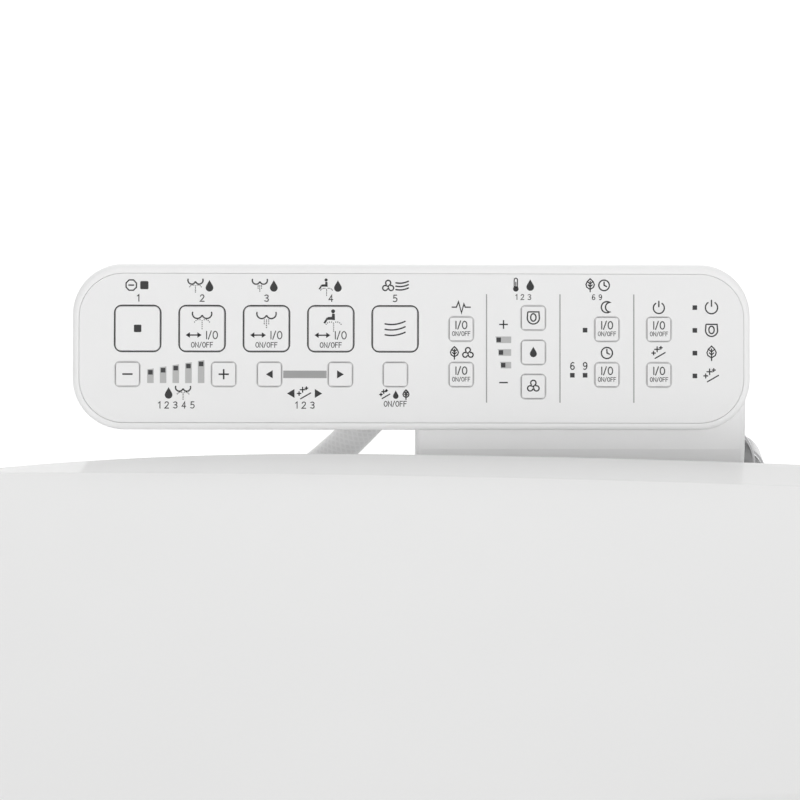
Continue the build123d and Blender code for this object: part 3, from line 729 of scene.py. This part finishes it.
TURN = [i * math.pi / 8 for i in range(17)]
LETTER_GAP = 0.24
MITRE_LIMIT = 0.35
SMALLEST_DOT = 0.23
GLYPHS: dict[str, list[list[Point]]] = {
    "O": [[(0.3 + 0.3 * math.cos(a), 0.5 + 0.5 * math.sin(a)) for a in TURN]],
    "N": [[(0, 0), (0, 1), (0.58, 0), (0.58, 1)]],
    "F": [[(0, 0), (0, 1), (0.5, 1)], [(0, 0.53), (0.43, 0.53)]],
    "I": [[(0.05, 0), (0.05, 1)]],
    "/": [[(0, -0.05), (0.38, 1.05)]],
    " ": [],
    "1": [[(0.1, 0.8), (0.34, 1), (0.34, 0)]],
    "2": [[(0.02, 0.78), (0.12, 0.95), (0.3, 1), (0.5, 0.93), (0.56, 0.75), (0.48, 0.55), (0, 0), (0.58, 0)]],
    "3": [
        [(0.03, 0.9), (0.25, 1), (0.5, 0.92), (0.55, 0.74), (0.42, 0.56), (0.22, 0.53)],
        [(0.22, 0.53), (0.46, 0.48), (0.58, 0.28), (0.5, 0.07), (0.27, 0), (0, 0.1)],
    ],
    "4": [[(0.42, 0), (0.42, 1), (0, 0.3), (0.58, 0.3)]],
    "5": [
        [(0.52, 1), (0.1, 1), (0.06, 0.55), (0.3, 0.62), (0.54, 0.5)],
        [(0.54, 0.5), (0.57, 0.28), (0.45, 0.06), (0.22, 0), (0, 0.08)],
    ],
    "6": [
        [(0.5, 0.93), (0.33, 1), (0.12, 0.85), (0.03, 0.5), (0.05, 0.2), (0.2, 0.02), (0.4, 0.02)],
        [(0.4, 0.02), (0.55, 0.18), (0.53, 0.42), (0.38, 0.57), (0.18, 0.53), (0.05, 0.35)],
    ],
}
GLYPHS["9"] = [[(0.58 - x, 1 - y) for x, y in run] for run in GLYPHS["6"]]


def arc(cx: float, cy: float, r: float, start: float, end: float, steps: int = 12) -> list[Point]:
    """Gives points along a circular arc, from one angle in degrees to another."""
    angles = [math.radians(start + (end - start) * i / steps) for i in range(steps + 1)]
    return [(cx + r * math.cos(a), cy + r * math.sin(a)) for a in angles]


class Ink:
    """Flat print gathered in the panel's own plane, in millimetres."""

    def __init__(self, level: float) -> None:
        """Starts an empty print.

        Args:
            level: Height above the panel's face.
        """
        self.level = level
        self.verts: list[Place] = []
        self.faces: list[list[int]] = []

    def area(self, points: Sequence[Point]) -> None:
        """Adds a filled convex outline.

        Args:
            points: Its corners, counter-clockwise.
        """
        start = len(self.verts)
        self.verts += [(x, y, self.level) for x, y in points]
        self.faces.append(list(range(start, start + len(points))))

    def bar(self, x0: float, x1: float, y0: float, y1: float) -> None:
        """Adds a filled rectangle between two edges each way."""
        self.area([(x0, y0), (x1, y0), (x1, y1), (x0, y1)])

    def dot(self, x: float, y: float, r: float) -> None:
        """Adds a disc about a centre."""
        self.area([(x + r * math.cos(a), y + r * math.sin(a)) for a in TURN[:-1]])

    def line(self, points: Sequence[Point], width: float) -> None:
        """Adds a mitred stroke with round ends.

        Args:
            points: Its middle line.
            width: Its width.
        """
        half = width / 2
        sides: list[tuple[Point, Point]] = []
        for i, (x, y) in enumerate(points):
            before = points[max(i - 1, 0)]
            after = points[min(i + 1, len(points) - 1)]
            d1 = Vector((x - before[0], y - before[1]))
            d2 = Vector((after[0] - x, after[1] - y))
            d1 = d1.normalized() if d1.length else d2.normalized()
            d2 = d2.normalized() if d2.length else d1
            mean = (d1 + d2).normalized()
            reach = half / max(MITRE_LIMIT, mean.dot(d1))
            sides.append(((x - mean.y * reach, y + mean.x * reach), (x + mean.y * reach, y - mean.x * reach)))
        for (a, b), (c, d) in zip(sides, sides[1:]):
            self.area([b, d, c, a])
        if points[0] != points[-1]:
            self.dot(*points[0], half)
            self.dot(*points[-1], half)

    def frame(self, x: float, y: float, inner: float, corner: float, width: float) -> None:
        """Adds a square ring with round corners.

        Args:
            x: Centre across.
            y: Centre up.
            inner: Inner side length.
            corner: Inner corner radius.
            width: Ring width.
        """
        rings = []
        for grow in (0.0, width):
            r = corner + grow
            c = inner / 2 + grow - r
            pts: list[Point] = []
            for k, (sx, sy) in enumerate(((1, 1), (-1, 1), (-1, -1), (1, -1))):
                pts += arc(x + sx * c, y + sy * c, r, 90 * k, 90 * k + 90, 7)
            rings.append(pts)
        inside, outside = rings
        n = len(inside)
        for i in range(n):
            j = (i + 1) % n
            self.area([inside[i], outside[i], outside[j], inside[j]])

    def words(self, text: str, x: float, y: float, height: float, width: float) -> None:
        """Adds stroke lettering centred on a point.

        Args:
            text: Figures, spaces, or the letters of ON, OFF and I/O.
            x: Centre across.
            y: Centre up.
            height: Letter height.
            width: Stroke width.
        """
        widths = [max((px for run in GLYPHS[mark] for px, _ in run), default=0.3) for mark in text]
        left = x - (sum(widths) + LETTER_GAP * (len(text) - 1)) * height / 2
        for mark, wide in zip(text, widths):
            for run in GLYPHS[mark]:
                self.line([(left + px * height, y + (py - 0.5) * height) for px, py in run], width)
            left += (wide + LETTER_GAP) * height

    def build(self, name: str, panel: Matrix, body: str, palette: Palette, finish: str) -> Object:
        """Makes the print as a piece that rides on a body.

        Args:
            name: Object name.
            panel: Panel placement.
            body: Body it rides on.
            palette: Finishes.
            finish: Finish name.

        Returns:
            The print object.
        """
        placed = [panel @ Vector(v) for v in self.verts]
        obj = new_mesh(name, placed, self.faces)
        palette.put(obj, finish)
        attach(obj, body)
        return obj


@dataclass(frozen=True)
class Icon:
    """A plain pictogram about its own centre, in millimetres.

    Attributes:
        lines: Middle lines of its strokes.
        areas: Filled convex outlines.
        dots: Discs, each as its centre and radius.
        width: Stroke width.
    """

    lines: Sequence[Sequence[Point]] = ()
    areas: Sequence[Sequence[Point]] = ()
    dots: Sequence[Place] = ()
    width: float = 0.58

    def draw(self, ink: Ink, x: float, y: float, size: float = 1.0) -> None:
        """Draws the pictogram.

        Args:
            ink: Print to draw in.
            x: Centre across.
            y: Centre up.
            size: Scale.
        """
        for run in self.lines:
            ink.line([(x + px * size, y + py * size) for px, py in run], self.width)
        for run in self.areas:
            ink.area([(x + px * size, y + py * size) for px, py in run])
        for px, py, r in self.dots:
            ink.dot(x + px * size, y + py * size, max(r * size, SMALLEST_DOT))


def spread(x: float) -> list[Place]:
    """Gives the dots of a rising jet that spreads.

    Args:
        x: Place of its middle.

    Returns:
        The dots.
    """
    jet = [(x, 0.4 - 0.85 * k, 0.24) for k in range(5)]
    for side in (-1, 1):
        jet += [(x + side * dx, dy, 0.24) for dx, dy in ((0.9, 0.85), (1.8, 0.85), (2.6, 0.5), (3.2, -0.1))]
    return jet


def blade(angle: float) -> list[Point]:
    """Gives the loop of one fan blade in a direction in degrees."""
    x, y = (1.55 * f(math.radians(angle)) for f in (math.cos, math.sin))
    return arc(x, y, 1.15, angle - 150, angle + 130, 14)


def cross(x: float, y: float, r: float) -> list[list[Point]]:
    """Gives the two strokes of a sparkle with this half length."""
    return [[(x - r, y), (x + r, y)], [(x, y - r), (x, y + r)]]


BOWL = [arc(-2.05, 3.5, 2.1, 165, 335), arc(2.05, 3.5, 2.1, 15, -155)]
LEAF_EDGE = [(0.0, 2.9), (1.3, 1.6), (1.9, 0.2), (1.5, -1.0), (0.0, -1.9)]
SEAT_EDGE = [(-2.4, 2.6), (2.4, 2.6), *arc(0, 0, 2.6, 0, -180, 16), (-2.4, 2.6)]
DASH = [(-2.2, -0.34), (2.2, -0.34), (2.2, 0.34), (-2.2, 0.34)]
ICONS: dict[str, Icon] = {
    "square": Icon(areas=[[
        (-1.3, -1.6), (1.3, -1.6), (1.6, -1.3), (1.6, 1.3),
        (1.3, 1.6), (-1.3, 1.6), (-1.6, 1.3), (-1.6, -1.3),
    ]]),
    "spray": Icon(BOWL, dots=spread(0.0), width=0.6),
    "shower": Icon(
        BOWL,
        dots=[(dx, 0.8 - 0.8 * k, 0.24) for dx in (-0.95, 0.0, 0.95) for k in range(5 if dx == 0 else 3)],
        width=0.6,
    ),
    "sitter": Icon(
        areas=[
            [(0.4, 0.9), (1.8, 0.8), (1.7, 3.5), (0.5, 3.6)],
            [(-1.6, 0.9), (0.5, 0.9), (0.6, 2.2), (-1.4, 2.1)],
            [(-3.2, -0.4), (-2.4, -0.7), (-1.2, 1.2), (-1.7, 2.0)],
        ],
        dots=[(0.95, 4.6, 0.85), *((x, y - 0.9, r) for x, y, r in spread(1.2))],
    ),
    "drop": Icon(areas=[arc(0, -0.6, 1.5, 150, 390, 14) + [(0.0, 2.4)]]),
    "waves": Icon(
        [
            [(x * 0.61, 2.35 * k + 0.04 * (x * 0.61 + 1.6) ** 2 - 0.5) for x in range(-7, 8)]
            for k in (-1, 0, 1)
        ],
        width=0.62,
    ),
    "minus": Icon(areas=[DASH]),
    "plus": Icon(areas=[DASH, [(-y, x) for x, y in DASH]]),
    "left": Icon(areas=[[(-1.5, 0.0), (1.4, -1.75), (1.4, 1.75)]]),
    "right": Icon(areas=[[(1.5, 0.0), (-1.4, 1.75), (-1.4, -1.75)]]),
    "swing": Icon(
        [[(-2.2, 0.0), (2.2, 0.0)]],
        [[(-3.4, 0.0), (-1.6, -1.2), (-1.6, 1.2)], [(3.4, 0.0), (1.6, 1.2), (1.6, -1.2)]],
    ),
    "power": Icon([arc(0, 0, 2.5, 125, 415, 22), [(0, 0.6), (0, 3.0)]]),
    "seat": Icon([SEAT_EDGE, [(1.15 * math.cos(a / 6), 0.2 + 1.6 * math.sin(a / 6)) for a in range(39)]]),
    "leaf": Icon([
        LEAF_EDGE,
        [(-x, y) for x, y in LEAF_EDGE],
        [(0.0, -3.0), (0.0, 1.7)],
        [(-0.9, 0.1), (0.0, -0.7), (0.9, 0.1)],
        [(-0.9, 1.3), (0.0, 0.5), (0.9, 1.3)],
    ], width=0.52),
    "wand": Icon(
        [[(-1.7, -2.4), (2.8, 0.2)], *cross(-0.8, 1.7, 1.1), *cross(-2.4, 0.0, 0.8), *cross(0.9, 2.4, 0.6)],
        width=0.52,
    ),
    "fan": Icon([blade(90), blade(210), blade(330)], dots=[(0.0, 0.0, 0.5)]),
    "heat": Icon(
        [[(-0.7, -0.9), (-0.7, 2.2), *arc(0, 2.2, 0.7, 180, 0, 8), (0.7, -0.9)], [(0.0, -1.4), (0.0, 1.2)]],
        dots=[(0.0, -1.7, 1.2)],
        width=0.45,
    ),
    "clock": Icon([arc(0, 0, 2.4, 0, 360, 24), [(0.0, 1.5), (0.0, 0.0), (1.1, -0.5)]]),
    "pulse": Icon(
        [[(-3.4, 0), (-1.8, 0), (-1.0, 2.0), (0.1, -2.1), (1.0, 1.2), (1.5, 0), (3.4, 0)]],
        width=0.55,
    ),
    "stop": Icon(
        [[(2.5 * math.cos(math.radians(a)), 2.5 * math.sin(math.radians(a))) for a in range(22, 392, 45)]],
        [[(-1.3, -0.32), (1.3, -0.32), (1.3, 0.32), (-1.3, 0.32)]],
    ),
    "moon": Icon([
        [*arc(0, 0, 2.4, 60, 300, 16), *arc(1.5, 0, 2.1, 258, 102, 14), *arc(0, 0, 2.4, 60, 61, 1)],
    ]),
}


@dataclass
class ControlPanel:
    """The tilted panel: rings round the keys, bars, dividers and pictograms.

    Lengths in millimetres, in the panel's own plane.
    """

    origin: Place = (-234.8, -195.0, 114.0)
    tilt: float = 22.0
    run: float = 5.0
    big: float = 18.9
    small: float = 10.0
    big_ring: Place = (0.25, 2.95, 0.5)
    small_ring: Place = (0.25, 1.95, 0.42)
    upper: float = 7.6
    lower: float = -12.0
    proud: float = 0.5
    lift: float = 0.03
    big_keys: tuple[tuple[str, float], ...] = (
        ("key_stop", -117.7),
        ("key_rear_wash", -90.1),
        ("key_soft_wash", -62.5),
        ("key_front_wash", -34.9),
        ("key_dryer", -7.3),
    )
    on_off_keys: tuple[tuple[str, float, bool], ...] = (
        ("key_pulsate", 21.1, True),
        ("key_deodoriser", 21.1, False),
        ("key_auto_saver", 83.8, True),
        ("key_timer_saver", 83.8, False),
        ("key_power", 106.2, True),
        ("key_wand_clean", 106.2, False),
    )
    small_keys: tuple[tuple[str, str, float, float], ...] = (
        ("key_pressure_down", "minus", -122.0, -12.0),
        ("key_pressure_up", "plus", -80.8, -12.0),
        ("key_wand_forward", "left", -61.2, -12.0),
        ("key_wand_back", "right", -30.8, -12.0),
        ("key_wand_rinse", "", -7.2, -12.0),
        ("key_seat_heat", "seat", 52.1, 12.4),
        ("key_water_heat", "drop", 52.1, -2.4),
        ("key_dryer_heat", "fan", 52.1, -17.1),
    )
    labels: tuple[tuple[str, float, float, float], ...] = (
        ("stop", -120.5, 26.2, 0.96), ("square", -114.9, 26.2, 1.1),
        ("spray", -93.0, 25.6, 0.78), ("drop", -87.0, 25.8, 1.1),
        ("shower", -65.4, 25.6, 0.78), ("drop", -59.4, 25.8, 1.1),
        ("sitter", -37.7, 25.0, 0.78), ("drop", -31.9, 25.8, 1.1),
        ("fan", -10.3, 25.9, 0.95), ("waves", -4.3, 26.1, 0.62),
        ("drop", -104.4, -20.2, 1.1), ("spray", -98.2, -20.4, 0.78),
        ("left", -52.0, -20.2, 1.1), ("wand", -46.2, -20.2, 0.95), ("right", -40.2, -20.2, 1.1),
        ("wand", -11.6, -20.6, 0.72), ("drop", -7.0, -20.8, 0.8), ("leaf", -2.6, -20.6, 0.68),
        ("pulse", 21.1, 17.0, 1.15), ("leaf", 18.2, -2.6, 0.9), ("fan", 24.0, -2.8, 0.9),
        ("moon", 83.8, 17.1, 1.0), ("clock", 83.8, -2.6, 1.0),
        ("power", 106.2, 16.8, 0.95), ("wand", 106.2, -2.6, 0.95),
        ("heat", 44.6, 26.6, 1.0), ("drop", 50.8, 26.4, 1.1),
        ("leaf", 76.6, 26.6, 0.95), ("clock", 82.6, 26.5, 0.95),
        ("power", 128.9, 17.0, 1.05), ("seat", 128.9, 7.2, 1.0),
        ("leaf", 128.9, -2.6, 1.05), ("wand", 128.9, -12.4, 1.05),
        ("plus", 39.3, 9.6, 0.85), ("minus", 39.3, -15.4, 0.85),
    )
    figures: tuple[tuple[str, float, float, float], ...] = (
        ("1 2 3 4 5", -101.2, -25.2, 2.7), ("1 2 3", -46.1, -25.2, 2.7), ("ON/OFF", -7.2, -24.6, 2.2),
        ("1 2 3", 47.7, 21.4, 2.2), ("6 9", 79.5, 21.4, 2.2), ("6", 68.9, -8.2, 3.0), ("9", 74.4, -8.2, 3.0),
    )
    key_figures: Point = (20.7, 2.8)
    stroke: float = 0.15
    lamps: int = 5
    lamp_row: Point = (-112.2, 5.43)
    lamp_half: float = 1.0
    lamp_edge: float = 0.4
    lamp_foot: float = -15.8
    lamp_top: Point = (-9.9, 0.9)
    heat_lefts: Place = (36.2, 37.2, 38.2)
    heat_right: float = 42.6
    heat_row: Point = (3.0, -5.45)
    heat_edges: Point = (1.0, 1.4)
    wand_bar: Point = (-55.3, -36.7)
    wand_bar_half: float = 1.6
    dividers: Place = (32.0, 63.6, 95.4)
    divider_half: float = 0.25
    divider_ends: Point = (-24.0, 22.6)

    def matrix(self) -> Matrix:
        """Gives the panel's placement.

        Returns:
            Matrix from the panel's plane to the part's frame, in millimetres.
        """
        t, r = math.radians(self.tilt), math.radians(self.run)
        along = Vector((0.0, math.cos(r), math.sin(r)))
        out = Vector((math.cos(t), -math.sin(t) * math.sin(r), math.sin(t) * math.cos(r)))
        up = out.cross(along)
        turn = Matrix((along, up, out)).transposed().to_4x4()
        return Matrix.Translation(Vector(self.origin)) @ turn

    def dress(self, palette: Palette) -> None:
        """Prints the panel and its keys.

        Args:
            palette: Finishes.
        """
        panel = self.matrix()
        inks = {name: Ink(self.lift) for name in ("dark", "grey", "pale", "faint")}
        dark = inks["dark"]
        self._rings(dark, inks["faint"])
        self._scales(inks["grey"], inks["pale"])
        for name, s, v, size in self.labels:
            ICONS[name].draw(dark, s, v, size)
        numbers = [(str(i), s, *self.key_figures) for i, (_, s) in enumerate(self.big_keys, 1)]
        for text, s, v, height in (*numbers, *self.figures):
            dark.words(text, s, v, height, self.stroke * height)
        for name, ink in inks.items():
            ink.build(f"panel_print_{name}", panel, "main", palette, f"ink_{name}")
        self._keys(panel, palette)

    def _rings(self, dark: Ink, faint: Ink) -> None:
        """Draws a line round every key.

        Args:
            dark: Dark print.
            faint: Faint print.
        """
        for _, s in self.big_keys:
            self._ring(dark, s, self.upper, self.big, self.big_ring)
        places = [(s, self.upper if up else self.lower) for _, s, up in self.on_off_keys]
        places += [(s, v) for _, _, s, v in self.small_keys]
        for s, v in places:
            self._ring(faint, s, v, self.small, self.small_ring)

    @staticmethod
    def _ring(ink: Ink, s: float, v: float, key: float, line: Place) -> None:
        """Draws round a key: line is its distance, its inner corner radius and its width."""
        away, corner, width = line
        ink.frame(s, v, key + 2 * away, corner, width)

    def _scales(self, grey: Ink, pale: Ink) -> None:
        """Draws the bars round the lamps and the dividers.

        Args:
            grey: Grey print.
            pale: Pale print.
        """
        half, edge, foot = self.lamp_half, self.lamp_half + self.lamp_edge, self.lamp_foot
        for i in range(self.lamps):
            s, top = (first + pitch * i for first, pitch in (self.lamp_row, self.lamp_top))
            pale.area([(s - edge, foot), (s - half, foot), (s - half, top), (s - edge, top - 0.06)])
            pale.area([(s + half, foot), (s + edge, foot), (s + edge, top + 0.36), (s + half, top + 0.3)])
            pale.area([(s - half, top - 0.3), (s + half, top - 0.3), (s + half, top + 0.3), (s - half, top)])
            pale.bar(s - half, s + half, foot, top - 2.3)
        grey.bar(*self.wand_bar, self.lower - self.wand_bar_half, self.lower + self.wand_bar_half)
        for s in self.dividers:
            grey.bar(s - self.divider_half, s + self.divider_half, *self.divider_ends)
        inner, outer = self.heat_edges
        for i, left in enumerate(self.heat_lefts):
            v = self.heat_row[0] + self.heat_row[1] * i
            lamp_end = left + 2.0
            pale.bar(lamp_end, self.heat_right, v - outer, v + outer)
            pale.bar(left - 0.4, lamp_end, v + inner, v + outer)
            pale.bar(left - 0.1, lamp_end, v - outer, v - inner)

    def _keys(self, panel: Matrix, palette: Palette) -> None:
        """Prints each key's own sign, which moves with it.

        Args:
            panel: Panel placement.
            palette: Finishes.
        """
        first, *middle, last = self.big_keys
        signs = [(name, icon, s, self.upper) for (name, s), icon in ((first, "square"), (last, "waves"))]
        signs += [sign for sign in self.small_keys if sign[1]]
        level = self.proud + self.lift
        prints: dict[str, Ink] = {}
        for name, icon, s, v in signs:
            prints[name] = Ink(level)
            ICONS[icon].draw(prints[name], s, v)
        for (name, s), icon in zip(middle, ("spray", "shower", "sitter")):
            ink = prints[name] = Ink(level)
            ICONS[icon].draw(ink, s, self.upper + 2.9)
            ICONS["swing"].draw(ink, s - 3.6, self.upper - 2.8)
            ink.words("I/O", s + 4.2, self.upper - 2.8, 3.2, 0.42)
            ink.words("ON/OFF", s, self.upper - 7.0, 2.1, 0.32)
        for name, s, up in self.on_off_keys:
            v = self.upper if up else self.lower
            ink = prints[name] = Ink(level)
            ink.words("I/O", s, v + 1.7, 3.2, 0.46)
            ink.words("ON/OFF", s, v - 2.0, 1.75, 0.28)
        for name, ink in prints.items():
            ink.build(f"{name}_print", panel, name, palette, "ink_dark")


@dataclass
class SolidPieces:
    """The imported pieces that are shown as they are, with their finishes and softened edges."""

    slots: dict[str, str]
    soft_edges: dict[str, float]
    special: dict[str, str]
    steps: int = 3
    sharp: float = 38.0

    def dress(self, nodes: dict[str, Object], palette: Palette) -> None:
        """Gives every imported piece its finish, and rounds the edges that show.

        Args:
            nodes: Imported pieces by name.
            palette: Finishes.
        """
        for name, obj in nodes.items():
            palette.put(obj, self.special.get(name, self.slots[name]))
            width = self.soft_edges.get(name)
            if width:
                weld = obj.modifiers.new("weld", "WELD")
                weld.merge_threshold = 1e-6
                bevel = obj.modifiers.new("soft_edges", "BEVEL")
                bevel.width = width * MM
                bevel.segments = self.steps
                bevel.limit_method = "ANGLE"
                bevel.angle_limit = math.radians(self.sharp)
                smooth = obj.modifiers.new("even_normals", "WEIGHTED_NORMAL")
                smooth.keep_sharp = True


@dataclass
class Studio:
    """Camera, lights, floor and surroundings."""

    place: Place = (0.97985, -0.26245, 0.54466)
    turn: tuple[float, float, float, float] = (0.56681, 0.432855, 0.370515, 0.595048)
    lens: float = 135.185
    sky: float = 0.5
    floor_half: float = 14000.0
    floor_level: float = -0.4
    glow: tuple[float, float, float, float] = (0.6, 3.0, 0.24, 0.56)
    lights: tuple[tuple[str, Place, Place, float, float], ...] = (
        ("back_light", (-1.7, -0.4, 1.6), (0.0, -0.2, 0.05), 1.8, 25.5),
        ("front_light", (2.3, -0.6, 0.75), (-0.2, -0.2, 0.1), 1.0, 19.0),
        ("side_light", (0.9, 1.1, 0.55), (-0.2, -0.1, 0.1), 0.8, 4.5),
    )

    def build(self) -> None:
        """Sets up the whole stage."""
        self._camera()
        self._world()
        self._floor()
        for light in self.lights:
            self._light(*light)

    def _camera(self) -> None:
        """Places the camera as in the photo."""
        data = bpy.data.cameras.new("camera")
        data.sensor_width = 36.0
        data.lens = self.lens
        cam = link("camera", data)
        cam.location = self.place
        cam.rotation_mode = "QUATERNION"
        cam.rotation_quaternion = Quaternion(self.turn)
        bpy.context.scene.camera = cam
        bpy.context.scene.view_settings.view_transform = "Standard"

    def _world(self) -> None:
        """Makes white surroundings that light softly and show as white."""
        world = bpy.data.worlds.new("studio")
        bpy.context.scene.world = world
        world.use_nodes = True
        tree = world.node_tree
        tree.nodes.clear()
        out = tree.nodes.new("ShaderNodeOutputWorld")
        lit, seen = (
            add(tree, "ShaderNodeBackground", {"Color": WHITE, "Strength": strength}).outputs[0]
            for strength in (self.sky, 1.0)
        )
        mix = add(tree, "ShaderNodeMixShader", {"Fac": self._shown(tree), 1: lit, 2: seen})
        tree.links.new(mix.outputs[0], out.inputs["Surface"])

    @staticmethod
    def _shown(tree: NodeTree) -> NodeSocket:
        """Tells the rays that show a surface from the ones that light by it.

        Args:
            tree: Node tree to add to.

        Returns:
            Socket that is 1 for camera, glossy and transmission rays.
        """
        path = tree.nodes.new("ShaderNodeLightPath")
        shown = path.outputs["Is Camera Ray"]
        for ray in ("Is Glossy Ray", "Is Transmission Ray"):
            shown = calc(tree, "MAXIMUM", shown, path.outputs[ray])
        return shown

    def _floor(self) -> None:
        """Lays a wide pale floor that shows white far off and keeps the shadow near."""
        s, z = self.floor_half, self.floor_level
        floor = new_mesh("floor", [(-s, -s, z), (s, -s, z), (s, s, z), (-s, s, z)], [[0, 1, 2, 3]])
        mat = bpy.data.materials.new("floor")
        mat.use_nodes = True
        tree = mat.node_tree
        spot = tree.nodes.new("ShaderNodeNewGeometry")
        far = add(tree, "ShaderNodeVectorMath", {0: spot.outputs["Position"]}, operation="LENGTH")
        limits = dict(zip(("From Min", "From Max", "To Min", "To Max"), self.glow))
        glow = add(tree, "ShaderNodeMapRange", {"Value": far.outputs["Value"], **limits})
        feed(tree, tree.nodes["Principled BSDF"], {
            "Base Color": (0.93, 0.93, 0.93, 1.0),
            "Roughness": 0.9,
            "Emission Color": WHITE,
            "Emission Strength": calc(tree, "MULTIPLY", glow.outputs["Result"], self._shown(tree)),
        })
        floor.data.materials.append(mat)

    def _light(self, name: str, place: Place, target: Place, size: float, power: float) -> None:
        """Hangs one large soft light.

        Args:
            name: Light name.
            place: Where it hangs, in metres.
            target: Where it points.
            size: Side of the square light.
            power: Power in watts.
        """
        data = bpy.data.lights.new(name, "AREA")
        data.shape = "SQUARE"
        data.size = size
        data.energy = power
        lamp = link(name, data)
        lamp.location = place
        lamp.rotation_euler = (Vector(target) - Vector(place)).to_track_quat("-Z", "Y").to_euler()


SOFT_EDGES = {
    "panel_bezel": 0.5,
    "panel_arm": 3.0,
    "panel_back": 0.6,
    "body_base": 0.6,
    "base_plate": 0.8,
    "seat_bottom": 1.2,
    "release_button": 0.8,
    "deodoriser_filter": 0.6,
    "drain_plug": 0.5,
    "hose_fittings": 0.8,
    "inlet_elbow": 0.8,
    "seat_bumpers": 1.5,
    "body_feet": 0.6,
    "dryer_flap": 0.2,
}
# The bezel takes the lighter white, painted light for its shaded rim.
SPECIAL_FINISHES = {"panel_bezel": "border_white_painted_light", "panel_arm": "panel_white"}
HOSE_ROUTE = (
    (-262.0, -69.47, 71.411),
    (-262.0, -172.0, 119.222),
    (-262.0, -248.9, 15.0),
    (-262.0, -327.9, 12.0),
    (-262.0, -440.0, 12.0),
)


def main() -> None:
    """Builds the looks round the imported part."""
    logging.basicConfig(level=logging.INFO)
    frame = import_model()
    nodes = frame["nodes"]
    palette = Palette()
    slots = {s["node"]: s["material_slot"] for s in frame["record"]["subparts"]}
    SolidPieces(slots, SOFT_EDGES, SPECIAL_FINISHES).dress(nodes, palette)
    Lid().build(palette)
    Hose(HOSE_ROUTE).build(palette, nodes)
    ControlPanel().dress(palette)
    Studio().build()


if __name__ == "__main__":
    main()
